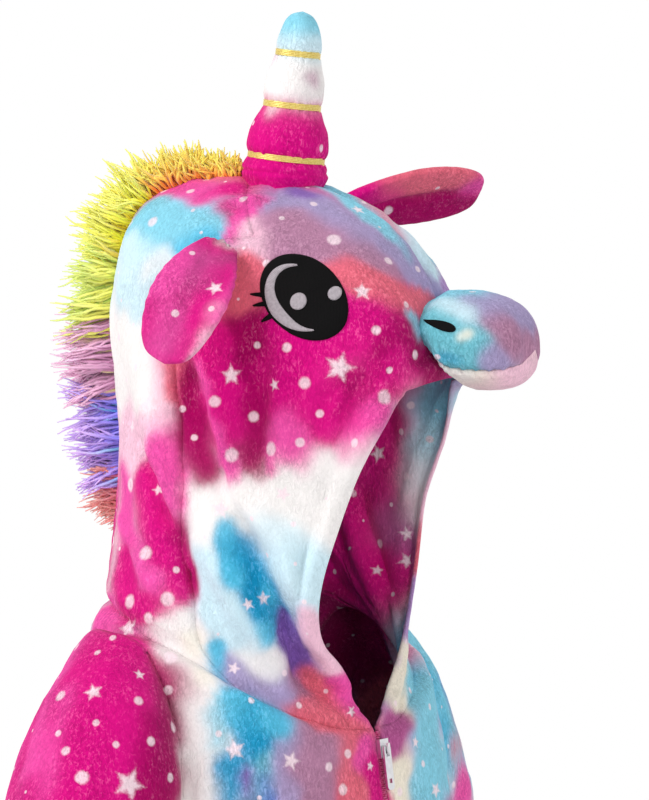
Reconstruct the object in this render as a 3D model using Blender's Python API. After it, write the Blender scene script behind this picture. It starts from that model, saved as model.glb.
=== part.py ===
"""Child's hooded unicorn onesie in printed flannel fleece: the worn, hollow form.

Lengths are in millimetres until a mesh is made, and metres in the meshes.
The garment faces -Y, +Z is up, and the wearer's left is +X. The origin is the point
between the shoulders, at the base of the neck, that holds the garment up.
The head is turned a little to the wearer's left, and the hood turns with it.
"""
import math
import random

import bmesh
import bpy
import numpy as np
from mathutils import Vector
from mathutils.bvhtree import BVHTree

# ------------------------------------------------------------------ driving sizes
MM = 0.001
FLEECE = 2.8            # thickness of the cloth wall
SEAM_GAP = 0.34         # between two cut pieces along their seam
SEAT_GAP = 0.3          # under a piece that lies on another
FACET = 0.55            # room for the flat faces of a curved piece under another
DISH = 3.0              # how many times that the middle of a seated end is hollowed
SEAT_RINGS = (0.3, 0.6, 0.82, 1.0)
PATCH = 1.0             # thickness of an embroidered patch
ZIP_HALF = 2.6          # from the centre line to the cloth's edge along the zip
CHEST_Z = -150.0        # level of the armpits
HEM_Z = -900.0
ZIP_END_Z = -400.0
CROTCH_Z = -540.0
BETWEEN_LEGS = 4.5      # from the centre line to the inner leg just under the crotch
HEAD_TURN = 18.0        # degrees, towards the wearer's left

# hood: a fan of arcs from the neck seam (first row) over the crown to the peak (last row).
# Each arc runs from the opening's right edge round the back or top to its left edge.
HOOD = np.array([
    # turn  chord fwd, up   crest fwd, up   edge   half   lift at   seam by
    # deg   (middle)        (back or top)   half   width  the side  the ear, deg
    (0.0,   94.0, -30.0,   -78.0,  40.0,    2.6,  100.0,  20.0,    124.0),
    (3.0,   86.0, -18.0,   -78.0,  62.0,   15.0,   98.0,  15.0,    109.0),
    (8.0,   80.5,   4.0,   -77.0,  92.0,   37.0,   96.0,   8.0,     98.0),
    (13.0,  75.0,  31.0,   -77.0, 125.0,   66.0,   94.0,   4.0,     82.0),
    (16.0,  76.5,  60.0,   -80.0, 165.0,   78.5,   92.0,   0.0,     74.0),
    (18.0,  83.0,  93.0,   -84.0, 215.0,   77.0,   90.0,   0.0,     68.0),
    (18.0,  91.0, 116.0,   -71.0, 266.0,   75.0,   87.0,   0.0,     58.0),
    (18.0,  96.0, 128.0,   -38.0, 287.0,   73.0,   85.0,   0.0,     51.0),
    (18.0,  99.0, 136.0,     5.0, 289.5,   71.0,   83.0,   0.0,     47.0),
    (18.0, 102.0, 144.0,    48.0, 282.5,   67.0,   79.0,   0.0,     46.0),
    (18.0, 105.0, 152.0,    88.0, 262.0,   60.0,   73.0,   0.0,     45.0),
    (18.0, 108.0, 160.0,   115.0, 226.0,   53.0,   65.0,   0.0,     45.0),
    (18.0, 111.5, 167.0,   128.0, 175.0,   46.0,   51.5,   0.0,     45.0),
])
CROWN_ROW = 8           # the row of HOOD under the ears and the horn
ROWS_TO_CROWN = 13
ROWS_TO_PEAK = 7
FACE_COLUMNS = 9        # from the opening's edge to the seam by the ear
BACK_COLUMNS = 8        # from that seam to the centre back
SIDE_COLUMNS = FACE_COLUMNS + BACK_COLUMNS
SHOULDER_COLUMN = 6     # column of the neck seam, from the centre back, where the shoulder is

# body: half sections from the armpits down. Each is part of an ellipse from the centre
# line, or the inner leg, out to the side seam.
BODY = np.array([
    # level    centre   half    front   back
    #          out      width   depth   depth
    (CHEST_Z,     0.0,  118.0,  104.0,  100.0),
    (-205.0,      0.0,  122.0,  112.0,  103.0),
    (-265.0,      0.0,  127.0,  114.0,  103.0),
    (-330.0,      0.0,  133.0,  113.0,  106.0),
    (-395.0,      0.0,  140.0,  113.0,  112.0),
    (-450.0,     16.0,  129.0,  111.0,  114.0),
    (-490.0,     38.0,  110.0,  106.0,  109.0),
    (-515.0,     58.0,   90.0,  100.0,  102.0),
    (-530.0,     70.0,   76.0,   94.0,   96.0),
    (CROTCH_Z,   73.0,   73.0,   91.0,   92.0),
    (-572.0,     76.0,   69.0,   84.0,   85.0),
    (-640.0,     77.0,   65.0,   75.0,   77.0),
    (-720.0,     76.0,   61.0,   69.0,   68.0),
    (-800.0,     77.0,   56.0,   60.0,   63.0),
    (-860.0,     78.0,   52.0,   55.0,   57.0),
    (HEM_Z,      79.0,   51.0,   53.0,   55.0),
])
YOKE_ROWS = 9           # rows of each front and back piece above the armpits
ROWS_TO_SEAT = 8        # from the armpits to just above the crotch
LEG_ROWS = 9
FRONT_COLUMNS = SIDE_COLUMNS - SHOULDER_COLUMN + 1
BACK_PIECE_COLUMNS = SHOULDER_COLUMN + 1

# armhole: an upright loop from the shoulder down to the armpit
ARMHOLE = {"out": 112.0, "middle": -58.0, "half": 92.0, "front": 47.0, "back": 51.0,
           "top_back": 15.0, "armpit_out": 6.0}

# sleeve: rings from the armhole round the shoulder; the lowest point of each is given
SLEEVE_CAP = (
    # turn towards  half    lowest point  half
    # the arm       height  out     up    depth
    (0.06,          86.0,   121.5, -153.5, 52.0),
    (0.16,          77.5,   126.0, -157.5, 51.5),
    (0.30,          66.0,   130.0, -163.0, 50.0),
    (0.50,          55.5,   134.0, -172.0, 48.0),
    (0.75,          47.5,   139.0, -187.0, 46.0),
    (1.00,          44.0,   144.0, -206.0, 44.0),
)
SLEEVE_DOWN = (
    # along   radius   (from the last cap ring to the cuff)
    (32.0,    43.0),
    (64.0,    41.5),
    (98.0,    40.0),
    (130.0,   40.5),
    (160.0,   38.0),
    (192.0,   37.0),
    (222.0,   35.0),
    (246.0,   34.0),
)
# each arm hangs a little its own way: degrees out, and back and in by the last cap ring
ARM = {"right": {"spread": 12.0, "swing": 0.02, "back": -4.0, "tuck": 8.0},
       "left": {"spread": 8.0, "swing": 0.06, "back": 15.0, "tuck": 8.0}}

# largest folds: soft troughs (-) and ridges (+) pushed out of the smooth form.
# On the hood, places are forward and up, on one side or both.
HOOD_FOLDS = (
    # side  from fwd, up    to fwd, up      width  height
    (-1,    (25.0, 90.0),   (56.0, 26.0),    8.0,  -5.5),
    (-1,    (56.0, 26.0),   (68.0, -30.0),   7.0,  -4.5),
    (-1,    (14.0, 80.0),   (44.0, 14.0),   10.0,   3.5),
    (-1,    (2.0, 74.0),    (38.0, -2.0),    8.0,  -4.0),
    (-1,    (-6.0, 182.0),  (-8.0, 142.0),   9.0,  -7.0),
    (-1,    (-30.0, 190.0), (-26.0, 96.0),  15.0,   5.0),
    (-1,    (4.0, 168.0),   (4.0, 112.0),    9.0,  -3.0),
    (-1,    (32.0, 166.0),  (26.0, 116.0),   9.0,  -2.5),
    (-1,    (-34.0, 78.0),  (-22.0, 44.0),  11.0,   3.5),
    (-1,    (-50.0, 100.0), (-44.0, 58.0),   9.0,  -3.5),
    (1,     (28.0, 84.0),   (54.0, 22.0),    8.0,  -5.0),
    (1,     (54.0, 22.0),   (66.0, -28.0),   7.0,  -4.0),
    (1,     (6.0, 76.0),    (40.0, 2.0),     9.0,  -3.5),
    (1,     (-4.0, 176.0),  (-10.0, 136.0), 10.0,  -5.0),
    (1,     (-32.0, 184.0), (-28.0, 104.0), 14.0,   4.0),
    (1,     (22.0, 160.0),  (20.0, 118.0),  10.0,  -2.5),
    (1,     (-46.0, 92.0),  (-36.0, 50.0),  10.0,  -3.5),
)
# On the body and legs, places are degrees round from the front (+ to the left) and up.
BODY_FOLDS = (
    # leg or body  from deg, up      to deg, up        width  height
    (0,            (-38.0, -52.0),   (-52.0, -160.0),   15.0,   5.0),
    (0,            (-22.0, -60.0),   (-30.0, -190.0),   13.0,  -4.0),
    (0,            (32.0, -58.0),    (44.0, -170.0),    14.0,   4.5),
    (0,            (-60.0, -215.0),  (-20.0, -290.0),   15.0,  -5.0),
    (0,            (58.0, -230.0),   (24.0, -310.0),    15.0,  -5.0),
    (0,            (-50.0, -340.0),  (-14.0, -440.0),   15.0,   5.0),
    (0,            (52.0, -350.0),   (16.0, -450.0),    15.0,   5.0),
    (0,            (150.0, -90.0),   (138.0, -230.0),   15.0,  -5.0),
    (0,            (-150.0, -100.0), (-140.0, -240.0),  15.0,  -5.0),
    (0,            (128.0, -300.0),  (165.0, -400.0),   16.0,   5.0),
    (0,            (-130.0, -290.0), (-164.0, -410.0),  16.0,   5.0),
    (1,            (-30.0, -600.0),  (40.0, -560.0),    13.0,  -4.0),
    (1,            (-40.0, -730.0),  (50.0, -705.0),    13.0,  -4.5),
    (1,            (130.0, -745.0),  (-130.0, -770.0),  13.0,   4.0),
    (1,            (-60.0, -835.0),  (60.0, -815.0),    12.0,   4.5),
    (1,            (-50.0, -878.0),  (80.0, -862.0),    10.0,  -4.0),
    (-1,           (-45.0, -565.0),  (30.0, -610.0),    13.0,  -4.0),
    (-1,           (-50.0, -700.0),  (45.0, -735.0),    13.0,  -4.5),
    (-1,           (120.0, -760.0),  (-140.0, -735.0),  13.0,   4.0),
    (-1,           (-60.0, -812.0),  (60.0, -838.0),    12.0,   4.5),
    (-1,           (-80.0, -860.0),  (50.0, -880.0),    10.0,  -4.0),
)
LEG_CENTRE = 76.0
NECK_FADE = 16.0        # above the neck seam, where the hood's folds begin
# On a sleeve, places are degrees round from its outer side (+ to the front) and along.
SLEEVE_FOLDS = (
    # from deg, along   to deg, along     width  height
    ((150.0, 20.0),     (60.0, 42.0),      11.0,  -4.0),
    ((-150.0, 34.0),    (-60.0, 58.0),     11.0,   4.0),
    ((170.0, 96.0),     (40.0, 116.0),     10.0,  -4.5),
    ((-160.0, 132.0),   (20.0, 146.0),     10.0,   4.0),
    ((150.0, 176.0),    (-30.0, 196.0),    10.0,  -3.5),
    ((60.0, 222.0),     (-120.0, 232.0),    9.0,   3.5),
)

# horn: radius against height above the crown, pinched by three thread windings
HORN_BASE = (20.0, 0.0)             # forward, left
HORN_LEAN = 7.0                     # degrees, forward
HORN = (
    # up     radius
    (3.0,    24.5),
    (8.0,    26.0),
    (14.2,   22.6),
    (16.8,   22.4),
    (22.0,   24.2),
    (33.0,   22.4),
    (45.2,   16.8),
    (47.8,   16.6),
    (54.0,   18.0),
    (66.0,   16.4),
    (75.7,   12.9),
    (78.3,   12.8),
    (84.0,   13.2),
    (93.0,   10.6),
    (99.5,    6.5),
)
HORN_TIP = 102.0
HORN_SIDES = 16
THREADS = {"horn_thread_low": (15.5, 22.6), "horn_thread_mid": (46.5, 16.8),
           "horn_thread_high": (77.0, 12.9)}
THREAD = 0.8                        # half thickness of a winding
THREAD_HEIGHT = 1.2                 # half height of a winding

# ears: in the turned head's directions, forward, left and up
EARS = {
    "right": {"root": (9.0, -72.0, 250.0), "bend": (11.0, -110.0, 240.0),
              "tip": (-3.0, -130.0, 186.0), "across": (0.85, -0.20, -0.48), "cup": 4.0},
    "left": {"root": (15.0, 62.0, 262.0), "bend": (58.0, 104.0, 284.0),
             "tip": (99.0, 138.0, 281.0), "across": (0.36, -0.64, 0.68), "cup": 4.5},
}
EAR = (
    # along   half    half
    #         width   thickness
    (0.00,    10.0,   4.6),
    (0.10,    12.5,   5.0),
    (0.26,    18.5,   5.6),
    (0.44,    22.5,   5.8),
    (0.62,    23.5,   5.6),
    (0.78,    21.5,   5.2),
    (0.90,    18.6,   4.4),
    (0.97,    12.6,   3.2),
)
EAR_SIDES = 12

# muzzle: rounded sections from the hood's front to the nose
MUZZLE = (
    # forward  half    up     half
    #          width          height
    (112.0,    42.5,  200.5,  21.0),
    (121.0,    44.5,  198.5,  25.5),
    (133.0,    44.0,  196.5,  28.0),
    (147.0,    42.5,  195.0,  28.5),
    (159.0,    38.0,  193.5,  26.5),
    (168.0,    30.0,  192.0,  21.5),
    (173.5,    18.0,  191.0,  13.5),
)
MUZZLE_NOSE = (176.0, 190.5)        # forward, up
MUZZLE_SIDES = 22
MUZZLE_FLAT = 5                     # points along the flat where the two pieces meet
MUZZLE_STEP = 1.2                   # least distance from one section to the next
MUZZLE_SEAM = 0.55                  # share of the half height, below the middle, at the seam
NOSTRIL = {"forward": 131.0, "up": 206.0, "half_long": 10.5, "half_high": 3.6, "slope": -14.0}

# eyes: stitched patches seen from the side, sizes forward and up
EYE = {"forward": 60.4, "up": 222.2, "half_long": 30.0, "half_high": 20.0, "tilt": -38.0}
EYE_SIDES = 30
LASHES = ((189.0, 6.4), (201.0, 6.8), (218.0, 6.2))    # degrees round, length
SHINE_DOTS = {"dot": (-3.4, -2.2, 4.6), "spark": (18.2, 2.4, 3.9)}   # forward, up, radius
CRESCENT = {"share": 0.75, "from": 107.0, "to": 297.0, "half": 3.5}      # share of the way to the rim

# mane: yarn locks fused in narrow strips along the centre-back seam
MANE_START = 12.0                   # along the crest from the crown, behind the horn's rim
MANE_PITCH = 4.75
MANE_ACROSS = 4                     # locks side by side
MANE_CELL = 3.5
MANE_BACKING = 1.6
MANE_SPLAY = 0.26
MANE_BREAK = 0.6                    # between two strips, more than a seam because the crest bends
LOCK_TIP = 0.3                      # tip's width as a share of the root's
MANE = (
    # band           rows  length at each end
    ("mane_orange",  12,   (8.0, 35.0)),
    ("mane_yellow",   7,   (34.0, 36.0)),
    ("mane_green",    9,   (37.0, 39.0)),
    ("mane_mauve",    8,   (39.0, 43.0)),
    ("mane_blue",    11,   (43.0, 42.0)),
    ("mane_coral",    6,   (41.0, 29.0)),
)

# zip
CHAIN_HALF = 2.2
CHAIN_THICK = 1.6
CHAIN_START = 3.5                   # below the hood's neck seam
CHAIN_ROWS = 26
SLIDER = {"half_wide": 4.0, "long": 11.0, "thick": 3.0, "below_neck": 4.0}
BRIDGE = {"half_wide": 1.0, "gap": 2.2, "thick": 1.2, "long": 6.0, "sunk": 0.6}
PULL = {"half_wide": 3.2, "long": 25.0, "thick": 1.4, "eye_half": 1.7, "eye_long": 4.6, "bar": 1.5,
        "play": 0.45, "hole": 1.3, "hole_up": 5.2, "chamfer": 1.6}

# colour, roughness and metallic value of each sub-part
FLEECE_PINK = ((0.79, 0.02, 0.27), 0.92, 0.0)
FLEECE_BLUE = ((0.30, 0.68, 0.83), 0.92, 0.0)
FLEECE_WHITE = ((0.86, 0.84, 0.86), 0.92, 0.0)
FLEECE_LILAC = ((0.52, 0.33, 0.62), 0.92, 0.0)
GOLD = ((0.83, 0.58, 0.12), 0.35, 0.6)
BLACK = ((0.02, 0.02, 0.025), 0.6, 0.0)
SILVER = ((0.62, 0.62, 0.66), 0.4, 0.2)
STEEL = ((0.78, 0.78, 0.80), 0.3, 0.9)


# ------------------------------------------------------------------ plain geometry
def unit(v):
    return np.asarray(v, float) / max(np.linalg.norm(v), 1e-9)


def along_table(table, t):
    """A smooth curve through a table's rows; t counts rows."""
    last = len(table) - 1
    i = min(int(t), last - 1)
    f = t - i
    a, b = table[i], table[i + 1]
    before, after = table[max(i - 1, 0)], table[min(i + 2, last)]
    ma, mb = (b - before) / 2, (after - a) / 2
    return (a * (2 * f**3 - 3 * f**2 + 1) + ma * (f**3 - 2 * f**2 + f)
            + b * (3 * f**2 - 2 * f**3) + mb * (f**3 - f**2))


def level_row(table, z):
    """The row number, with its fraction, at which a falling table reaches a level."""
    return float(np.interp(-z, -table[:, 0], np.arange(len(table))))


def turned(forward, left, up, turn=HEAD_TURN):
    """A point given in a turned head's directions."""
    a = math.radians(turn)
    return np.array([forward * math.sin(a) + left * math.cos(a),
                     -forward * math.cos(a) + left * math.sin(a), up])


def head_place(p):
    """Forward and left of a point, in the turned head's directions."""
    a = math.radians(HEAD_TURN)
    return p[0] * math.sin(a) - p[1] * math.cos(a), p[0] * math.cos(a) + p[1] * math.sin(a)


def fold_push(place, start, end, width, height):
    """Height of one soft fold at a place, fading out at its ends."""
    start, end, place = np.array(start), np.array(end), np.array(place)
    run = end - start
    f = float(np.dot(place - start, run) / np.dot(run, run))
    away = np.linalg.norm(place - start - run * min(max(f, 0.0), 1.0))
    fade = 1.0 - 0.5 * abs(2 * min(max(f, 0.0), 1.0) - 1) ** 2
    return height * fade * math.exp(-(away / width) ** 2)


# ------------------------------------------------------------------ the cloth's surface
def flat_cloth(_):
    return 0.0


class Cloth:
    """One welded surface; each face is labelled with the piece it is cut from."""

    def __init__(self):
        self.points = []
        self.index = {}
        self.faces = []
        self.folds = {}

    def vertex(self, p):
        key = tuple(int(round(c / 0.02)) for c in p)
        if key not in self.index:
            self.index[key] = len(self.points)
            self.points.append(np.array(p, float))
        return self.index[key]

    def grid(self, rows, piece_of, folds, flip=False, ring=False):
        """Adds a grid of points. piece_of(row, column) names the piece of a face, and
        folds(point) gives the height of its folds. Points shared by two rules stay put."""
        ids = [[self.vertex(p) for p in row] for row in rows]
        for i in {i for row in ids for i in row}:
            self.folds[i] = folds if self.folds.get(i, folds) is folds else flat_cloth
        if ring:
            ids = [row + row[:1] for row in ids]
        for r in range(len(ids) - 1):
            for c in range(len(ids[0]) - 1):
                quad = [ids[r][c], ids[r][c + 1], ids[r + 1][c + 1], ids[r + 1][c]]
                quad = [v for i, v in enumerate(quad) if v != quad[i - 1]]
                if len(quad) > 2:
                    self.faces.append((quad if flip else quad[::-1], piece_of(r, c)))

    def normals(self):
        """The outward way at each point, each face counting by the angle of its corner."""
        normals = np.zeros((len(self.points), 3))
        for ids, _ in self.faces:
            p = [self.points[i] for i in ids]
            n = unit(np.cross(p[2] - p[0], p[-1] - p[1]))
            for k, i in enumerate(ids):
                before, after = unit(p[k - 1] - p[k]), unit(p[(k + 1) % len(p)] - p[k])
                normals[i] += n * math.acos(min(1.0, max(-1.0, float(np.dot(before, after)))))
        along_zip = [abs(p[0]) < ZIP_HALF + 0.3 and p[1] < 0 for p in self.points]
        normals[along_zip, 0] = 0.0
        return np.array([unit(n) for n in normals])

    def fold(self):
        """Moves every point along its normal by the height of its folds."""
        normals = self.normals()
        self.points = [p + normals[i] * self.folds[i](p) for i, p in enumerate(self.points)]

    def piece(self, name):
        """Outer points, inner points and faces of one piece's closed wall."""
        faces = [ids for ids, piece in self.faces if piece == name]
        normals = self.normals()
        edges = {}
        for ids in faces:
            for a, b in zip(ids, ids[1:] + ids[:1]):
                edges[(a, b)] = ids
        rim = [(a, b) for a, b in edges if (b, a) not in edges]
        onward = dict(rim)
        back = {b: a for a, b in rim}
        used = sorted({i for ids in faces for i in ids})
        local = {i: k for k, i in enumerate(used)}
        outer = np.array([self.points[i] for i in used])
        for i in onward:
            around = [ids for ids in faces if i in ids]
            middle = sum(sum(self.points[k] for k in ids) / len(ids) for ids in around) / len(around)
            inward = middle - self.points[i]
            inward -= normals[i] * np.dot(inward, normals[i])
            before = unit(self.points[i] - self.points[back[i]])
            after = unit(self.points[onward[i]] - self.points[i])
            straight = np.dot(before, after) > 0.8
            if straight:
                along = unit(before + after)
                inward -= along * np.dot(inward, along)
            outer[local[i]] += unit(inward) * SEAM_GAP / 2 * (1.0 if straight else 1.5)
        inner = outer - np.array([normals[i] for i in used]) * FLEECE
        count = len(used)
        walls = [[local[i] for i in ids] for ids in faces]
        walls += [[local[i] + count for i in reversed(ids)] for ids in faces]
        for a, b in rim:
            p, q = local[a], local[b]
            walls += ([[q, p, q + count], [p, p + count, q + count]] if a < b
                      else [[q, p, p + count], [q, p + count, q + count]])
        return np.vstack([outer, inner]), walls


def hood_arc(row, columns):
    """Points of one arc of the hood at the given angles from its crest."""
    turn, m_fwd, m_up, c_fwd, c_up, edge, half, lift, _ = row
    end = math.pi - math.asin(edge / half)
    points = []
    for angle in columns:
        share = (math.cos(angle) - math.cos(end)) / (1 - math.cos(end))
        points.append(turned(m_fwd + (c_fwd - m_fwd) * share, half * math.sin(angle),
                             m_up + (c_up - m_up) * share + lift * 4 * share * (1 - share), turn))
    return points


def hood_rows():
    """The hood's grid: rows from neck to peak, columns from the right edge to the left."""
    lower = np.linspace(0, CROWN_ROW, ROWS_TO_CROWN + 1)
    upper = np.linspace(CROWN_ROW, len(HOOD) - 1, ROWS_TO_PEAK + 1)[1:]
    rows = []
    for t in [*lower, *upper]:
        row = along_table(HOOD, t)
        end = math.pi - math.asin(row[5] / row[6])
        seam = math.radians(row[8])
        left = [*np.linspace(0, seam, BACK_COLUMNS + 1), *np.linspace(seam, end, FACE_COLUMNS + 1)[1:]]
        rows.append(hood_arc(row, [-a for a in reversed(left[1:])] + left))
    return rows


def hood_piece(row, column):
    side = "right" if column < SIDE_COLUMNS else "left"
    from_back = SIDE_COLUMNS - 1 - column if column < SIDE_COLUMNS else column - SIDE_COLUMNS
    if row < ROWS_TO_CROWN and from_back < BACK_COLUMNS:
        return "hood_back_" + side
    return "hood_face_" + side


def armhole_point(sign, row, toward):
    """A point of the armhole, row 0 at the shoulder. toward is 'front' or 'back'."""
    a = math.pi * row / YOKE_ROWS
    hole = ARMHOLE
    side = -1 if toward == "front" else 1
    out = hole["out"] + hole["armpit_out"] * (1 - math.cos(a)) / 2 - 5 * math.sin(a)
    return np.array([sign * out,
                     hole["top_back"] * (1 + math.cos(a)) / 2 + side * hole[toward] * math.sin(a),
                     hole["middle"] + hole["half"] * math.cos(a)])


def body_section(z, sign, toward, columns):
    """Points of a front's or back's section at a level, from the centre to the side seam."""
    level, centre, half, front, back = along_table(BODY, level_row(BODY, z))
    inner = ZIP_HALF if toward == "front" and z >= ZIP_END_Z else 0.0
    if z < CROTCH_Z - 1.0:
        centre = max(centre, half + BETWEEN_LEGS)
    first = math.acos(max(-1.0, min(1.0, (inner - centre) / half)))
    depth = -front if toward == "front" else back
    return [np.array([sign * (centre + half * math.cos(first * (1 - c / columns))),
                      depth * math.sin(first * (1 - c / columns)), z]) for c in range(columns + 1)]


def body_levels():
    """Levels of the rows below the armpits, closest at the crotch."""
    crotch = [CROTCH_Z + 10.0, CROTCH_Z, CROTCH_Z - 11.0]
    above = np.linspace(CHEST_Z, CROTCH_Z + 25.0, ROWS_TO_SEAT + 1)[1:]
    below = np.linspace(CROTCH_Z - 32.0, HEM_Z, LEG_ROWS)
    return [*above, *crotch, *below]


def body_rows(sign, toward, neck):
    """The grid of one front or back: rows from neck to hem, columns from centre to side."""
    if toward == "front":
        top = [neck[SIDE_COLUMNS + sign * (SIDE_COLUMNS - c)] for c in range(FRONT_COLUMNS)]
    else:
        top = [neck[SIDE_COLUMNS + sign * c] for c in range(BACK_PIECE_COLUMNS)]
    top = top + [armhole_point(sign, 0, toward)]
    columns = len(top) - 1
    bottom = body_section(CHEST_Z, sign, toward, columns)
    rows = []
    for r in range(YOKE_ROWS + 1):
        v = r / YOKE_ROWS
        centre = top[0] * (1 - v) + bottom[0] * v
        centre[1] += (-3.0 if toward == "front" else 9.0) * math.sin(math.pi * v)
        side = armhole_point(sign, r, toward)
        row = []
        for c in range(columns + 1):
            u = c / columns
            corners = ((1 - u) * (1 - v) * top[0] + u * (1 - v) * top[-1]
                       + (1 - u) * v * bottom[0] + u * v * bottom[-1])
            row.append((1 - v) * top[c] + v * bottom[c] + (1 - u) * centre + u * side - corners)
        rows.append(row)
    rows += [body_section(z, sign, toward, columns) for z in body_levels()]
    smoothed = np.array(rows)
    for _ in range(10):
        old = smoothed.copy()
        smoothed[2:15, 1:-1, :2] += 0.5 * ((old[1:14, 1:-1, :2] + old[3:16, 1:-1, :2]) / 2
                                           - old[2:15, 1:-1, :2])
    return [list(row) for row in smoothed]


def sleeve_rows(side):
    """Rings of one sleeve, from the armhole to the cuff, and how far along each one is."""
    sign = 1 if side == "left" else -1
    arm = ARM[side]
    full = math.radians(90 - arm["spread"])
    around = 2 * YOKE_ROWS
    rows = [[armhole_point(sign, i, "front") if i <= YOKE_ROWS else armhole_point(sign, around - i, "back")
             for i in range(around)]]
    down = np.array([math.cos(full), -math.sin(full)])
    across = np.array([math.sin(full), math.cos(full)])
    rings = []
    for turn, high, out, up, deep in SLEEVE_CAP:
        lean = np.array([math.sin(turn * full), math.cos(turn * full)])
        middle = np.array([out - arm["tuck"] * turn, up]) + lean * high
        rings.append((middle, lean, high, deep, 9.0 * (1 - turn) + arm["back"] * turn))
    base = rings[-1][0]
    for far, radius in SLEEVE_DOWN:
        rings.append((base + down * far, across, radius, radius, arm["back"] + arm["swing"] * far))
    for middle, lean, high, deep, back in rings:
        ring = []
        for i in range(around):
            a = 2 * math.pi * i / around
            out, up = middle + lean * high * math.cos(a)
            ring.append(np.array([sign * out, back - deep * math.sin(a), up]))
        rows.append(ring)
    return rows


def sleeve_height(side):
    """The height of a sleeve's folds at a point."""
    sign = 1 if side == "left" else -1
    full = math.radians(90 - ARM[side]["spread"])
    turn, high, out, up, _ = SLEEVE_CAP[-1]
    base = np.array([out - ARM[side]["tuck"] + math.sin(full) * high, up + math.cos(full) * high])

    def height(p):
        local = np.array([sign * p[0], p[2]]) - base
        far = local[0] * math.cos(full) - local[1] * math.sin(full)
        outward = local[0] * math.sin(full) + local[1] * math.cos(full)
        angle = math.degrees(math.atan2(-(p[1] - ARM[side]["back"] - ARM[side]["swing"] * far), outward))
        total = 0.0
        for start, end, width, tall in SLEEVE_FOLDS:
            for turn_over in (-360.0, 0.0, 360.0):
                place = ((angle + turn_over) * 0.68, far)
                total += fold_push(place, (start[0] * 0.68, start[1]), (end[0] * 0.68, end[1]), width, tall)
        return total if -20.0 < far < 240.0 else 0.0
    return height


def fold_height(p):
    """The height of the folds of hood, body and sleeves at a point of the cloth."""
    total = 0.0
    forward, left = head_place(p)
    back = min(max((HOOD[0][1] + p[1]) / (HOOD[0][1] - HOOD[0][3]), 0.0), 1.0)
    neck = HOOD[0][2] + (HOOD[0][4] - HOOD[0][2]) * back + HOOD[0][7] * 4 * back * (1 - back)
    if p[2] > neck and math.hypot(p[0], p[1]) < 150.0 and abs(left) > 8.0:
        for side, start, end, width, height in HOOD_FOLDS:
            if side * left > 0:
                share = min(1.0, (abs(left) - 8.0) / 25.0) * min(1.0, (p[2] - neck) / NECK_FADE)
                total += share * fold_push((forward, p[2]), start, end, width, height)
    if p[2] < -45.0 and abs(p[0]) < BODY[:, 1:3].sum(axis=1).max() + 2.0:
        leg = 0 if p[2] > -545.0 else (1 if p[0] > 0 else -1)
        angle = math.degrees(math.atan2(p[0] - leg * LEG_CENTRE, -p[1]))
        radius = math.hypot(p[0] - leg * LEG_CENTRE, p[1])
        for body, start, end, width, height in BODY_FOLDS:
            if body == leg:
                place = (math.radians(angle) * radius, p[2])
                total += fold_push(place, (math.radians(start[0]) * radius, start[1]),
                                   (math.radians(end[0]) * radius, end[1]), width, height)
    return total


def make_cloth():
    """Hood, body and sleeves as one welded surface, with their folds."""
    cloth = Cloth()
    hood = hood_rows()
    cloth.grid(hood, hood_piece, fold_height)
    for side, sign in (("left", 1), ("right", -1)):
        for toward in ("front", "back"):
            cloth.grid(body_rows(sign, toward, hood[0]), lambda r, c, n=f"{toward}_{side}": n,
                       fold_height, flip=(sign < 0) == (toward == "front"))
        cloth.grid(sleeve_rows(side), lambda r, c, n="sleeve_" + side: n, sleeve_height(side),
                   flip=side == "left", ring=True)
    cloth.fold()
    return cloth


# ------------------------------------------------------------------ making objects
def finish(name, look):
    colour, roughness, metallic = look
    made = bpy.data.materials.new(name)
    made.use_nodes = True
    shader = made.node_tree.nodes["Principled BSDF"]
    shader.inputs["Base Color"].default_value = (*colour, 1.0)
    shader.inputs["Roughness"].default_value = roughness
    shader.inputs["Metallic"].default_value = metallic
    return made


def add_object(name, points, faces, look, smooth=True):
    """A named object from points in millimetres, its faces turned outwards."""
    mesh = bpy.data.meshes.new(name)
    shape = bmesh.new()
    corners = [shape.verts.new(Vector([float(c) * MM for c in p])) for p in points]
    for ids in faces:
        shape.faces.new([corners[i] for i in ids])
    bmesh.ops.recalc_face_normals(shape, faces=shape.faces)
    if shape.calc_volume(signed=True) < 0:
        bmesh.ops.reverse_faces(shape, faces=shape.faces)
    shape.to_mesh(mesh)
    shape.free()
    if smooth:
        mesh.shade_smooth()
        mesh.set_sharp_from_angle(angle=math.radians(50))
    mesh.materials.append(finish(name, look))
    made = bpy.data.objects.new(name, mesh)
    bpy.context.scene.collection.objects.link(made)
    return made


def rings_solid(rings, cap_start=None, cap_end=None):
    """Points and faces of a closed solid through rings; caps fan to a point if one is given."""
    points = [p for ring in rings for p in ring]
    n = len(rings[0])
    faces = []
    for r in range(len(rings) - 1):
        for i in range(n):
            j = (i + 1) % n
            faces.append([r * n + i, r * n + j, (r + 1) * n + j, (r + 1) * n + i])
    for cap, first in ((cap_start, 0), (cap_end, (len(rings) - 1) * n)):
        if cap is None:
            faces.append(list(range(first, first + n)))
        else:
            points.append(cap)
            faces += [[first + i, first + (i + 1) % n, len(points) - 1] for i in range(n)]
    return points, faces


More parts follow.
